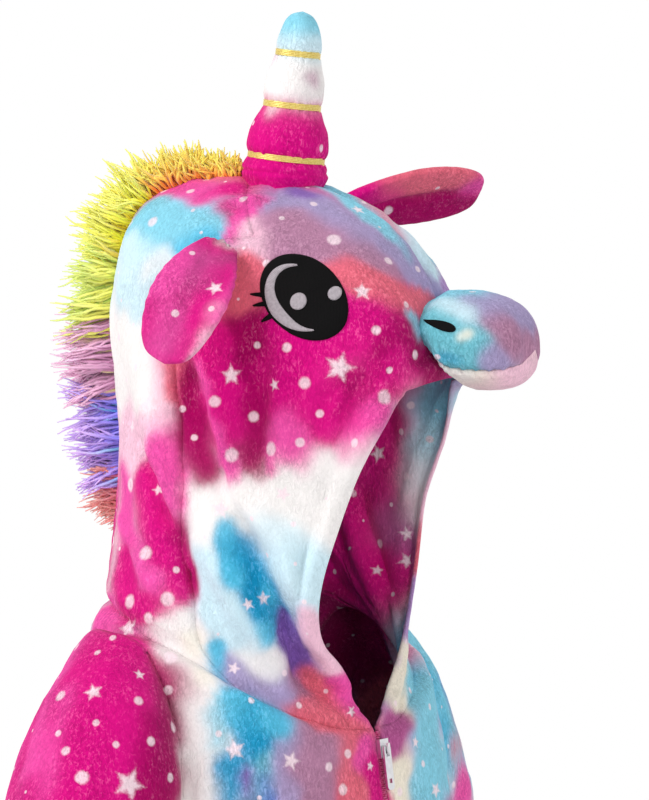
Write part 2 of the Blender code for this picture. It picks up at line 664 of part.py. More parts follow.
def plate_solid(front, back):
    """Points and faces of a closed plate from two like grids, one over the other."""
    rows, columns = len(front), len(front[0])
    points = [p for row in front for p in row] + [p for row in back for p in row]
    count = rows * columns
    faces = []
    for r in range(rows - 1):
        for c in range(columns - 1):
            quad = [r * columns + c, r * columns + c + 1, (r + 1) * columns + c + 1, (r + 1) * columns + c]
            faces += [quad, [i + count for i in reversed(quad)]]
    rim = ([c for c in range(columns)] + [r * columns + columns - 1 for r in range(1, rows)]
           + [(rows - 1) * columns + c for c in range(columns - 2, -1, -1)]
           + [r * columns for r in range(rows - 2, 0, -1)])
    faces += [[b, a, a + count, b + count] for a, b in zip(rim, rim[1:] + rim[:1])]
    return points, faces


class Surface:
    """The outer faces of pieces already made, for others to be seated on."""

    def __init__(self, *shells):
        points, faces = [], []
        for shell_points, shell_faces in shells:
            start = len(points)
            points += [Vector(p) for p in shell_points]
            faces += [[i + start for i in ids] for ids in shell_faces]
        self.tree = BVHTree.FromPolygons(points, faces)

    def under(self, p, direction, far=60.0):
        """Where a ray from well before p, along direction, first meets the surface.
        Rays on either side keep it from slipping through a seam."""
        direction = Vector(unit(direction))
        start = Vector(p) - direction * far
        aside = direction.orthogonal().normalized()
        found = []
        for shift in (0.0, SEAM_GAP * 2, -SEAM_GAP * 2):
            hit, normal, _, distance = self.tree.ray_cast(start + aside * shift, direction)
            if hit is not None:
                found.append((distance + (0.0 if shift == 0 else 0.5), normal))
        if not found:
            hit, normal, _, _ = self.tree.find_nearest(Vector(p))
            return np.array(hit), np.array(-normal if normal.dot(direction) > 0 else normal)
        distance, normal = min(found, key=lambda each: each[0])
        if normal.dot(direction) > 0:
            normal = -normal
        return np.array(start + direction * distance), np.array(normal)


def seat_rings(ring, middle, surface, direction):
    """Rings and a middle point that lay a closed, slightly dished end on a surface."""
    direction = unit(direction)

    def seated(p, share):
        hit, normal = surface.under(p, direction)
        lift = SEAT_GAP + FACET * (1 + DISH * (1 - share))
        return hit - direction * lift / max(abs(np.dot(normal, direction)), 0.4)

    rings = [[seated(middle + (p - middle) * share, share) for p in ring] for share in SEAT_RINGS]
    return rings, seated(middle, 0.0)


# ------------------------------------------------------------------ sub-parts
def add_shells(cloth):
    looks = {"hood_face_right": FLEECE_PINK, "hood_face_left": FLEECE_PINK,
             "hood_back_right": FLEECE_BLUE, "hood_back_left": FLEECE_BLUE,
             "front_right": FLEECE_BLUE, "front_left": FLEECE_WHITE,
             "back_right": FLEECE_LILAC, "back_left": FLEECE_LILAC,
             "sleeve_right": FLEECE_PINK, "sleeve_left": FLEECE_LILAC}
    shells = {}
    for name, look in looks.items():
        shells[name] = cloth.piece(name)
        add_object(name, *shells[name], look)
    return shells


def add_horn(surface):
    """The stuffed horn and its three windings."""
    lean = math.radians(HORN_LEAN)
    base = np.array([HORN_BASE[0], HORN_BASE[1], 0.0])
    foot, _ = surface.under(turned(*HORN_BASE, 290.0), (0, 0, -1))

    def place(up, radius, angle):
        local = np.array([radius * math.cos(angle) * math.cos(lean) + up * math.sin(lean),
                          radius * math.sin(angle),
                          up * math.cos(lean) - radius * math.cos(angle) * math.sin(lean)])
        return turned(*(base + local)) + np.array([0, 0, foot[2]])

    angles = [2 * math.pi * i / HORN_SIDES for i in range(HORN_SIDES)]
    rings = [[place(up, radius, a) for a in angles] for up, radius in HORN]
    seats, middle = seat_rings([place(0.0, 22.0, a) for a in angles], foot, surface, (0, 0, -1))
    add_object("horn", *rings_solid(seats + rings, middle, place(HORN_TIP, 0.0, 0.0)), FLEECE_WHITE)

    for name, (up, pinch) in THREADS.items():
        inner, outer = pinch + SEAT_GAP, pinch + SEAT_GAP + 2 * THREAD
        section = ((inner, -0.6), (inner + THREAD, -1.0), (outer, 0.0), (inner + THREAD, 1.0), (inner, 0.6))
        loops = [[place(up + h * THREAD_HEIGHT, r, a) for r, h in section] for a in angles]
        points = [p for loop in loops for p in loop]
        n = len(section)
        faces = [[i * n + k, i * n + (k + 1) % n, ((i + 1) % HORN_SIDES) * n + (k + 1) % n,
                  ((i + 1) % HORN_SIDES) * n + k] for i in range(HORN_SIDES) for k in range(n)]
        add_object(name, points, faces, GOLD)


def add_ear(side, surface):
    """A stuffed leaf, gathered at its root, which is seated on the hood."""
    ear = EARS[side]
    root, bend, tip = (turned(*ear[k]) for k in ("root", "bend", "tip"))
    across = turned(*ear["across"])
    rings = []
    for share, wide, thick in EAR:
        middle = root * (1 - share) ** 2 + 2 * bend * share * (1 - share) + tip * share**2
        along = unit((bend - root) * (1 - share) + (tip - bend) * share)
        side_way = unit(across - along * np.dot(across, along))
        out = unit(np.cross(along, side_way))
        ring = []
        for i in range(EAR_SIDES):
            a = 2 * math.pi * i / EAR_SIDES
            bow = ear["cup"] * (math.cos(a) ** 2) * wide / 25.0
            ring.append(middle + side_way * wide * math.cos(a) + out * (thick * math.sin(a) + bow))
        rings.append(ring)
    seats, middle = seat_rings(rings[0], root, surface, root - bend)
    add_object("ear_" + side, *rings_solid(seats + rings[1:], middle, tip), FLEECE_PINK)


def muzzle_point(row, angle):
    """A point of the muzzle's skin, angle 0 to the left and 90 degrees up."""
    forward, half, up, high = row
    return turned(forward, half * math.cos(angle), up + high * math.sin(angle))


def add_muzzle(surface):
    """The stuffed top piece, its under piece and the nostrils."""
    seam = math.asin(MUZZLE_SEAM)
    shells = []
    for name, low, high, sides, look in (
            ("muzzle_top", -seam, math.pi + seam, MUZZLE_SIDES - 6, FLEECE_BLUE),
            ("muzzle_under", math.pi + seam, 2 * math.pi - seam, 8, FLEECE_WHITE)):
        gap = np.array([0, 0, SEAM_GAP / 2 if name == "muzzle_top" else -SEAM_GAP / 2])
        rings = []
        for row in MUZZLE:
            ring = [muzzle_point(row, a) + gap for a in np.linspace(low, high, sides + 1)]
            flat = [ring[-1] + (ring[0] - ring[-1]) * share for share in np.linspace(0, 1, MUZZLE_FLAT + 2)]
            rings.append(ring + flat[1:-1])
        seats, middle = seat_rings(rings[0], sum(rings[0]) / len(rings[0]), surface, turned(-1, 0, 0))
        for k, ring in enumerate(rings):
            for i, p in enumerate(ring):
                behind = head_place(seats[-1][i])[0] + (k + 1) * MUZZLE_STEP - head_place(p)[0]
                ring[i] = p + turned(max(behind, 0.0), 0, 0)
        rings = seats + rings
        forward, up = MUZZLE_NOSE
        nose = turned(forward, 0, up) if name == "muzzle_top" else None
        if name == "muzzle_under":
            level = MUZZLE[-1][2] - MUZZLE_SEAM * MUZZLE[-1][3]
            nose = turned(forward - 1.5, 0, level - 2.0)
        points, faces = rings_solid(rings, middle, nose)
        shells.append((points, faces))
        add_object(name, points, faces, look)
    skin = Surface(*shells)
    for side, sign in (("left", 1), ("right", -1)):
        add_patch("nostril_" + side, nostril_outline(), NOSTRIL["forward"], NOSTRIL["up"], sign, skin, BLACK,
                  lift=SEAT_GAP + 2 * FACET, rings=2)


def nostril_outline():
    """A teardrop, round in front and pointed behind, forward and up from its middle."""
    points = []
    slope = math.radians(NOSTRIL["slope"])
    for i in range(14):
        a = 2 * math.pi * i / 14
        along = math.cos(a) * NOSTRIL["half_long"]
        high = math.sin(a) * NOSTRIL["half_high"] * (0.62 + 0.38 * math.cos(a))
        points.append((along * math.cos(slope) - high * math.sin(slope),
                       along * math.sin(slope) + high * math.cos(slope)))
    return points


def add_patch(name, outline, forward, up, sign, surface, look, lift=SEAT_GAP, rings=1):
    """A thin patch laid on a surface from the side, fanned out from its middle."""
    sideways = turned(0, -sign, 0)
    fractions = [(k + 1) / (rings + 1) for k in range(rings + 1)]
    flat = [[(0.0, 0.0)]] + [[(f * s, u * s) for f, u in outline] for s in fractions]
    low, high = [], []
    for ring in flat:
        low_ring, high_ring = [], []
        for f, u in ring:
            hit, normal = surface.under(turned(forward + f, sign * 100.0, up + u), sideways)
            low_ring.append(hit + normal * lift)
            high_ring.append(hit + normal * (lift + PATCH))
        low.append(low_ring)
        high.append(high_ring)
    n = len(outline)
    points = [p for ring in low + high for p in ring]
    half = len(points) // 2
    faces = []
    for shift in (0, half):
        for i in range(n):
            j = (i + 1) % n
            faces.append([shift, shift + 1 + i, shift + 1 + j])
            for r in range(rings):
                a, b = shift + 1 + r * n, shift + 1 + (r + 1) * n
                faces.append([a + i, b + i, b + j, a + j])
    last = 1 + rings * n
    faces += [[last + i, last + (i + 1) % n, half + last + (i + 1) % n, half + last + i] for i in range(n)]
    add_object(name, points, faces, look, smooth=False)
    return points, faces


def eye_reach(a):
    """From the eye's middle to its rim, in the direction a."""
    a -= math.radians(EYE["tilt"])
    return 1 / math.hypot(math.cos(a) / EYE["half_long"], math.sin(a) / EYE["half_high"])


def eye_outline():
    """The eye's tilted oval with its three lashes, forward and up from its middle."""
    tilt = math.radians(EYE["tilt"])
    points = []
    angles = sorted([2 * math.pi * i / EYE_SIDES for i in range(EYE_SIDES)]
                    + [math.radians(a + d) for a, _ in LASHES for d in (-2.2, 2.2)])
    for a in angles:
        x, y = EYE["half_long"] * math.cos(a - tilt), EYE["half_high"] * math.sin(a - tilt)
        p = np.array([x * math.cos(tilt) - y * math.sin(tilt), x * math.sin(tilt) + y * math.cos(tilt)])
        reach = max((length for at, length in LASHES if abs(math.degrees(a) - at) < 2.0), default=0.0)
        points.append(tuple(p + p / np.linalg.norm(p) * reach))
    return points


def add_eye(side, surface):
    """The black patch, the silver crescent and the two dots stitched over it."""
    sign = 1 if side == "left" else -1
    black = add_patch("eye_" + side, eye_outline(), EYE["forward"], EYE["up"], sign, surface, BLACK,
                      lift=SEAT_GAP + FACET, rings=2)
    ground = Surface(black)
    for kind, (forward, up, radius) in SHINE_DOTS.items():
        outline = [(radius * math.cos(2 * math.pi * i / 12), radius * math.sin(2 * math.pi * i / 12))
                   for i in range(12)]
        add_patch(f"eye_{kind}_{side}", outline, EYE["forward"] + forward, EYE["up"] + up, sign, ground,
                  SILVER, rings=0)
    arc = np.linspace(CRESCENT["from"], CRESCENT["to"], 13)
    outer, inner = [], []
    for k, degrees in enumerate(arc):
        a = math.radians(degrees)
        half = CRESCENT["half"] * math.sin(math.pi * (k + 0.35) / 12.7) + 0.15
        middle = CRESCENT["share"] * eye_reach(a)
        for line, radius in ((outer, middle + half), (inner, middle - half)):
            line.append((radius * math.cos(a), radius * math.sin(a)))
    sideways = turned(0, -sign, 0)
    grids = [], []
    for line in (outer, inner):
        rows = [], []
        for f, u in line:
            hit, normal = ground.under(turned(EYE["forward"] + f, sign * 100.0, EYE["up"] + u), sideways)
            rows[0].append(hit + normal * (SEAT_GAP + PATCH))
            rows[1].append(hit + normal * SEAT_GAP)
        grids[0].append(rows[0])
        grids[1].append(rows[1])
    add_object("eye_shine_" + side, *plate_solid(*grids), SILVER, smooth=False)


def crest_path(shells):
    """The hood's centre line from the crown down its back, and the way out of the cloth."""
    surface = Surface(shells["hood_back_left"], shells["hood_back_right"])
    lower = np.linspace(CROWN_ROW - 0.02, 1.2, 160)
    path = []
    for t in lower:
        row = along_table(HOOD, t)
        crest = turned(row[3], 0.0, row[4], row[0])
        chord = turned(row[1], 0.0, row[2], row[0])
        out = unit(crest - chord)
        hit, _ = surface.under(crest + turned(0, 1.0, 0, row[0]), -out)
        path.append(hit)
    return np.array(path), surface


def add_mane(shells):
    """Six backing strips along the crest, each with its locks fused in."""
    rng = random.Random(11)
    path, surface = crest_path(shells)
    steps = np.concatenate([[0], np.cumsum(np.linalg.norm(np.diff(path, axis=0), axis=1))])

    def place(far):
        return np.array([np.interp(far, steps, path[:, k]) for k in range(3)])

    across = turned(0, 1, 0)
    columns = MANE_ACROSS + 1
    widths = (np.arange(columns) - MANE_ACROSS / 2) * MANE_CELL
    far = MANE_START
    for name, rows, lengths in MANE:
        end = far + rows * MANE_PITCH
        low, high, ways = [], [], []
        for at in np.linspace(far + SEAM_GAP / 2, end - SEAM_GAP / 2, rows + 1):
            along = unit(place(at + 5.0) - place(at - 5.0))
            out = unit(np.cross(across, along))
            ways.append((along, out))
            hits = [surface.under(place(at) + across * w, -out)[0] for w in widths]
            low.append([hit + out * (SEAT_GAP + FACET) for hit in hits])
            high.append([hit + out * (SEAT_GAP + FACET + MANE_BACKING) for hit in hits])
        points, faces = plate_solid(high, low)
        tops = {frozenset((a, a + 1, a + columns, a + columns + 1)): (a // columns, a % columns)
                for a in range(rows * columns) if a % columns < MANE_ACROSS}
        for ids in [f for f in faces if frozenset(f) in tops]:
            row, column = tops[frozenset(ids)]
            share = (row + 0.5) / rows
            length = (lengths[0] * (1 - share) + lengths[1] * share) * rng.uniform(0.84, 1.08)
            along, out = ways[row]
            lean = (column - (MANE_ACROSS - 1) / 2) * MANE_SPLAY + rng.uniform(-0.05, 0.05)
            way = unit(out + across * lean + along * rng.uniform(-0.02, 0.10))
            faces.remove(ids)
            root = [points[i] for i in ids]
            middle = sum(root) / 4
            first = len(points)
            for corner in root:
                spread = corner - middle
                spread = spread - way * np.dot(spread, way)
                points.append(middle + way * length + spread * LOCK_TIP)
            faces += [[ids[k], ids[(k + 1) % 4], first + (k + 1) % 4, first + k] for k in range(4)]
            faces.append([first + k for k in range(4)])
        add_object(name, points, faces, MANE_LOOKS[name], smooth=False)
        far = end + MANE_BREAK


MANE_LOOKS = {
    "mane_orange": ((0.80, 0.22, 0.05), 0.85, 0.0),
    "mane_yellow": ((0.88, 0.60, 0.03), 0.85, 0.0),
    "mane_green": ((0.42, 0.62, 0.06), 0.85, 0.0),
    "mane_mauve": ((0.42, 0.12, 0.24), 0.85, 0.0),
    "mane_blue": ((0.14, 0.14, 0.45), 0.85, 0.0),
    "mane_coral": ((0.80, 0.12, 0.15), 0.85, 0.0),
}


def zip_line(shells):
    """The centre front's outer surface: a point and its outward way at each level."""
    edge = Surface(shells["front_left"])

    def at(z):
        hit, _ = edge.under(np.array([ZIP_HALF + 1.5, -100.0, z]), (0, 1, 0))
        return np.array([0.0, hit[1], z])
    return at


def slider_frame(at, top):
    """Turns across, down and out, counted from the slider's top, into a point."""
    high = top - SLIDER["below_neck"]
    low = high - SLIDER["long"]
    run = unit(at(low - PULL["long"]) - at(high))
    out = unit(np.cross(run, (1.0, 0.0, 0.0)))
    start = at(high) + out * SEAT_GAP
    proud = max(np.dot(at(z) - start, out) for z in np.linspace(high, low, 9)) + SEAT_GAP
    start = start + out * max(proud, 0.0)

    def local(across, down, forward):
        return start + np.array([across, 0, 0]) + run * down + out * forward
    return local


def add_bar(name, profile, half, local):
    """A solid of one profile, down and out, from side to side."""
    n = len(profile)
    points = [local(x, d, f) for x in (-half, half) for d, f in profile]
    faces = [list(range(n)), list(range(2 * n - 1, n - 1, -1))]
    faces += [[k, n + k, n + (k + 1) % n, (k + 1) % n] for k in range(n)]
    return add_object(name, points, faces, STEEL, smooth=False)


def add_slider(local):
    """The slider's body with the bridge that holds the pull."""
    long, thick = SLIDER["long"], SLIDER["thick"]
    side = [(0, 0), (long, 0), (long, thick), (0, thick)]
    slider = add_bar("zip_slider", side, SLIDER["half_wide"], local)
    first = (long - BRIDGE["long"]) / 2
    last, foot, bar = first + BRIDGE["long"], thick - BRIDGE["sunk"], BRIDGE["thick"]
    inside = thick + BRIDGE["gap"]
    arch = [(first, foot), (first, inside + bar), (last, inside + bar), (last, foot),
            (last - bar, foot), (last - bar, inside), (first + bar, inside), (first + bar, foot)]
    bridge = add_bar("bridge_tool", arch, BRIDGE["half_wide"], local)
    bridge.hide_render = True
    bridge.display_type = "WIRE"
    join = slider.modifiers.new("bridge", "BOOLEAN")
    join.operation = "UNION"
    join.solver = "EXACT"
    join.object = bridge


def add_pull(local):
    """The flat tab: an eye whose top bar lies behind the bridge, and a round hole below."""
    axis_down = (SLIDER["long"] - BRIDGE["long"]) / 2 + BRIDGE["thick"] + PULL["bar"] / 2 + PULL["play"]
    axis_out = SLIDER["thick"] + BRIDGE["gap"] / 2
    bar, hole, half = PULL["bar"], PULL["hole"], PULL["half_wide"]
    middle = PULL["long"] - PULL["hole_up"]
    rows = (
        # down                         inner width   share of the full width
        (-bar / 2,                     PULL["eye_half"], 0.86),
        (bar / 2,                      PULL["eye_half"], 1.0),
        (bar / 2 + PULL["eye_long"],   PULL["eye_half"], 1.0),
        (middle - hole,                hole,             1.0),
        (middle + hole,                hole,             1.0),
        (PULL["long"] - PULL["chamfer"], hole,           1.0),
        (PULL["long"],                 hole,             0.62),
    )
    cells = {(i, k) for i in range(len(rows) - 1) for k in range(3)} - {(1, 1), (3, 1)}
    points, index, faces = [], {}, []
    for out in (-PULL["thick"] / 2, PULL["thick"] / 2):
        for i, (down, inner, share) in enumerate(rows):
            for k, x in enumerate((-half, -inner, inner, half)):
                index[(i, k, out > 0)] = len(points)
                points.append(local(x * share, axis_down + down, axis_out + out))
    for i, k in cells:
        ring = ((i, k), (i, k + 1), (i + 1, k + 1), (i + 1, k))
        beside = ((i - 1, k), (i, k + 1), (i + 1, k), (i, k - 1))
        faces.append([index[(*c, False)] for c in ring])
        faces.append([index[(*c, True)] for c in reversed(ring)])
        for a, b, cell in zip(ring, ring[1:] + ring[:1], beside):
            if cell not in cells:
                faces.append([index[(*a, False)], index[(*a, True)], index[(*b, True)], index[(*b, False)]])
    add_object("zip_pull", points, faces, STEEL, smooth=False)


def add_zip(shells):
    """The chain in its gap, the slider at the neck and the pull that hangs from it."""
    at = zip_line(shells)
    top = HOOD[0][2] - CHAIN_START
    end = min(z for z in body_levels() if z >= ZIP_END_Z) + 1.0
    front, back = [], []
    for z in np.linspace(top, end, CHAIN_ROWS):
        across = [at(z) + np.array([x, 0.0, 0.0]) for x in (-CHAIN_HALF, 0.0, CHAIN_HALF)]
        front.append(across)
        back.append([p + np.array([0.0, CHAIN_THICK, 0.0]) for p in across])
    add_object("zip_chain", *plate_solid(front, back), FLEECE_PINK)
    local = slider_frame(at, top)
    add_slider(local)
    add_pull(local)


def build():
    for old in list(bpy.data.objects):
        bpy.data.objects.remove(old)
    shells = add_shells(make_cloth())
    hood = Surface(*(shells[n] for n in shells if n.startswith("hood")))
    add_horn(hood)
    for side in ("left", "right"):
        add_ear(side, hood)
        add_eye(side, hood)
    add_muzzle(hood)
    add_mane(shells)
    add_zip(shells)


build()
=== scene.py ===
"""Visual model of a child's unicorn onesie in printed flannel fleece.

Lengths are in millimetres until a mesh is made, and metres in the meshes.
The garment faces -Y, +Z is up, and the wearer's left is +X.
"""
import math
import random

import bpy
import numpy as np
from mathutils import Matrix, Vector
from mathutils.bvhtree import BVHTree
from mathutils.kdtree import KDTree


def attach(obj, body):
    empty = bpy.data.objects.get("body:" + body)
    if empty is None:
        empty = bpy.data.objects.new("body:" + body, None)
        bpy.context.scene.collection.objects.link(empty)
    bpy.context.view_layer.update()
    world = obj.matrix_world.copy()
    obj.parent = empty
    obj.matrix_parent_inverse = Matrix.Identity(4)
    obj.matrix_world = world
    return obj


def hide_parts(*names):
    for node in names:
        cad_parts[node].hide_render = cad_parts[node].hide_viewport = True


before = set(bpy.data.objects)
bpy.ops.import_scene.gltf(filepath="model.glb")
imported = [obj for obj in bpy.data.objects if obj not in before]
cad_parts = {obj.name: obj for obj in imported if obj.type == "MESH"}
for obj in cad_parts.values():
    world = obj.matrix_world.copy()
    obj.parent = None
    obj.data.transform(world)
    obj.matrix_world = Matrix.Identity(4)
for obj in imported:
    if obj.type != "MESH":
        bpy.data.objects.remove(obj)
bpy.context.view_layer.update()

# ------------------------------------------------------------------ the garment's sizes
MM = 0.001
FLEECE = 2.8            # thickness of the cloth wall
ZIP_HALF = 2.6          # from the centre line to the cloth's edge along the zip
ZIP_BOTTOM = -381.0     # below this the two fronts are sewn together
CHEST_Z = -150.0        # level of the armpits
HEM_Z = -900.0
CROTCH_Z = -540.0
BETWEEN_LEGS = 4.5
HEAD_TURN = 18.0        # degrees, towards the wearer's left

# hood: arcs from the neck seam (first row) over the crown to the peak (last row)
HOOD = np.array([
    # turn  chord fwd, up   crest fwd, up   edge   half   lift at   seam by
    # deg   (middle)        (back or top)   half   width  the side  the ear, deg
    (0.0,   94.0, -30.0,   -78.0,  40.0,    2.6,  100.0,  20.0,    124.0),
    (3.0,   86.0, -18.0,   -78.0,  62.0,   15.0,   98.0,  15.0,    109.0),
    (8.0,   80.5,   4.0,   -77.0,  92.0,   37.0,   96.0,   8.0,     98.0),
    (13.0,  75.0,  31.0,   -77.0, 125.0,   66.0,   94.0,   4.0,     82.0),
    (16.0,  76.5,  60.0,   -80.0, 165.0,   78.5,   92.0,   0.0,     74.0),
    (18.0,  83.0,  93.0,   -84.0, 215.0,   77.0,   90.0,   0.0,     68.0),
    (18.0,  91.0, 116.0,   -71.0, 266.0,   75.0,   87.0,   0.0,     58.0),
    (18.0,  96.0, 128.0,   -38.0, 287.0,   73.0,   85.0,   0.0,     51.0),
    (18.0,  99.0, 136.0,     5.0, 289.5,   71.0,   83.0,   0.0,     47.0),
    (18.0, 102.0, 144.0,    48.0, 282.5,   67.0,   79.0,   0.0,     46.0),
    (18.0, 105.0, 152.0,    88.0, 262.0,   60.0,   73.0,   0.0,     45.0),
    (18.0, 108.0, 160.0,   115.0, 226.0,   53.0,   65.0,   0.0,     45.0),
    (18.0, 111.5, 167.0,   128.0, 175.0,   46.0,   51.5,   0.0,     45.0),
])
CROWN_ROW = 8
ROWS_TO_CROWN = 13
ROWS_TO_PEAK = 7
FACE_COLUMNS = 9
BACK_COLUMNS = 8
SIDE_COLUMNS = FACE_COLUMNS + BACK_COLUMNS
SHOULDER_COLUMN = 6
FINE_ROWS = 6           # rows and columns of the cloth between two of the solids' own
FINE_COLUMNS = 4

# body: half sections from the armpits down
BODY = np.array([
    # level    centre   half    front   back
    #          out      width   depth   depth
    (CHEST_Z,     0.0,  118.0,  104.0,  100.0),
    (-205.0,      0.0,  122.0,  112.0,  103.0),
    (-265.0,      0.0,  127.0,  114.0,  103.0),
    (-330.0,      0.0,  133.0,  113.0,  106.0),
    (-395.0,      0.0,  140.0,  113.0,  112.0),
    (-450.0,     16.0,  129.0,  111.0,  114.0),
    (-490.0,     38.0,  110.0,  106.0,  109.0),
    (-515.0,     58.0,   90.0,  100.0,  102.0),
    (-530.0,     70.0,   76.0,   94.0,   96.0),
    (CROTCH_Z,   73.0,   73.0,   91.0,   92.0),
    (-572.0,     76.0,   69.0,   84.0,   85.0),
    (-640.0,     77.0,   65.0,   75.0,   77.0),
    (-720.0,     76.0,   61.0,   69.0,   68.0),
    (-800.0,     77.0,   56.0,   60.0,   63.0),
    (-860.0,     78.0,   52.0,   55.0,   57.0),
    (HEM_Z,      79.0,   51.0,   53.0,   55.0),
])
YOKE_ROWS = 9
ROWS_TO_SEAT = 8
LEG_ROWS = 9

# armhole: an upright loop from the shoulder down to the armpit
ARMHOLE = {"out": 112.0, "middle": -58.0, "half": 92.0, "front": 47.0, "back": 51.0,
           "top_back": 15.0, "armpit_out": 6.0}

# sleeve: rings from the armhole round the shoulder, then down to the cuff
SLEEVE_CAP = (
    # turn   half    lowest point    half
    #        height  out     up      depth
    (0.06,   86.0,   121.5, -153.5,  52.0),
    (0.16,   77.5,   126.0, -157.5,  51.5),
    (0.30,   66.0,   130.0, -163.0,  50.0),
    (0.50,   55.5,   134.0, -172.0,  48.0),
    (0.75,   47.5,   139.0, -187.0,  46.0),
    (1.00,   44.0,   144.0, -206.0,  44.0),
)
SLEEVE_DOWN = (
    # along   radius
    (32.0,    43.0),
    (64.0,    41.5),
    (98.0,    40.0),
    (130.0,   40.5),
    (160.0,   38.0),
    (192.0,   37.0),
    (222.0,   35.0),
    (246.0,   34.0),
)
ARM = {"right": {"spread": 12.0, "swing": 0.02, "back": -4.0, "tuck": 8.0},
       "left": {"spread": 8.0, "swing": 0.06, "back": 15.0, "tuck": 8.0}}
FINE_RINGS = 5

# the folds that the solids have: soft troughs (-) and ridges (+) pushed out of the smooth form
HOOD_FOLDS = (
    # side, from fwd, up, to fwd, up, width, height
    (-1, (25, 90), (56, 26), 8, -5.5), (-1, (56, 26), (68, -30), 7, -4.5), (-1, (14, 80), (44, 14), 10, 3.5),
    (-1, (2, 74), (38, -2), 8, -4), (-1, (-6, 182), (-8, 142), 9, -7), (-1, (-30, 190), (-26, 96), 15, 5),
    (-1, (4, 168), (4, 112), 9, -3), (-1, (32, 166), (26, 116), 9, -2.5), (-1, (-34, 78), (-22, 44), 11, 3.5),
    (-1, (-50, 100), (-44, 58), 9, -3.5), (1, (28, 84), (54, 22), 8, -5), (1, (54, 22), (66, -28), 7, -4),
    (1, (6, 76), (40, 2), 9, -3.5), (1, (-4, 176), (-10, 136), 10, -5), (1, (-32, 184), (-28, 104), 14, 4),
    (1, (22, 160), (20, 118), 10, -2.5), (1, (-46, 92), (-36, 50), 10, -3.5),
)
# finer creases of the hood, for the eye alone
HOOD_CREASES = (
    (-1, (-11.4, 184), (18.6, 106), 4.6, -9), (-1, (-1, 186), (26, 107), 5, 6),
    (-1, (33.8, 200), (41, 119), 6.5, -6), (-1, (50, 182), (49, 124), 6, 3.6),
    (-1, (102, 181), (82, 135), 5, -5), (-1, (108, 174), (94, 131), 4.6, 3.8),
    (-1, (87, 181), (69, 138), 5, -4), (-1, (25.2, 102), (40, 63), 4.6, -8),
    (-1, (38, 69), (51, 30), 4.6, -9), (-1, (50, 35), (59, 4), 4.6, -9), (-1, (56.4, 10), (76, -21), 4.6, -9),
    (-1, (42, 98), (59.4, 60), 7, 5), (-1, (58.4, 66), (64, 22), 7, 5.5), (-1, (64, 29), (80, -16), 6, 5.5),
    (-1, (8, 86), (24, 25), 6, 4), (-1, (14, 27), (32, -6), 4.4, -4), (-1, (-38, 136), (-17.7, 92), 4.6, -7),
    (-1, (-19, 97), (2, 50), 4.6, -7), (-1, (-27, 138), (-10, 90), 5, 4.5),
    (-1, (-56, 91), (-21, 48), 4.6, 4.5), (-1, (-32, 174), (-24, 120), 8, 3.4),
    (-1, (-68, 214), (-58, 150), 7, -2.4), (-1, (-40, 256), (-14, 232), 8, -2.6),
    (-1, (18.5, 286), (8, 252), 4.6, 5.2), (-1, (25, 284), (15, 256), 2.6, -3.6),
    (-1, (11.5, 286), (1, 256), 2.6, -3.6), (1, (-6, 180), (2, 118), 4.8, -6), (1, (4, 182), (16, 116), 5, 4),
    (1, (30, 192), (34, 120), 6, -3.2), (1, (54, 176), (58, 126), 6, 2.6), (1, (70, 168), (74, 122), 6, -2.8),
    (1, (22, 98), (52, 38), 5, -4.4), (1, (50, 42), (72, -14), 4.6, -5.4), (1, (38, 98), (76, -8), 6, 4),
    (1, (6, 80), (26, 20), 6.5, 3.6), (1, (-24, 92), (0, 44), 6, -4.6), (1, (-58, 98), (-20, 42), 7, 3.8),
    (1, (-50, 140), (-32, 94), 6, -4.4), (1, (-34, 176), (-26, 124), 8, 3.2),
    (1, (12, 292), (6, 262), 3.4, 4.4), (1, (18, 292), (12.5, 264), 2.6, -2.4),
)
# on the body and legs, places are degrees round from the front (+ to the left) and up
BODY_FOLDS = (
    # leg or body, from deg, up, to deg, up, width, height
    (0, (-38, -52), (-52, -160), 15, 5), (0, (-22, -60), (-30, -190), 13, -4),
    (0, (32, -58), (44, -170), 14, 4.5), (0, (-60, -215), (-20, -290), 15, -5),
    (0, (58, -230), (24, -310), 15, -5), (0, (-50, -340), (-14, -440), 15, 5),
    (0, (52, -350), (16, -450), 15, 5), (0, (150, -90), (138, -230), 15, -5),
    (0, (-150, -100), (-140, -240), 15, -5), (0, (128, -300), (165, -400), 16, 5),
    (0, (-130, -290), (-164, -410), 16, 5), (1, (-30, -600), (40, -560), 13, -4),
    (1, (-40, -730), (50, -705), 13, -4.5), (1, (130, -745), (-130, -770), 13, 4),
    (1, (-60, -835), (60, -815), 12, 4.5), (1, (-50, -878), (80, -862), 10, -4),
    (-1, (-45, -565), (30, -610), 13, -4), (-1, (-50, -700), (45, -735), 13, -4.5),
    (-1, (120, -760), (-140, -735), 13, 4), (-1, (-60, -812), (60, -838), 12, 4.5),
    (-1, (-80, -860), (50, -880), 10, -4),
)
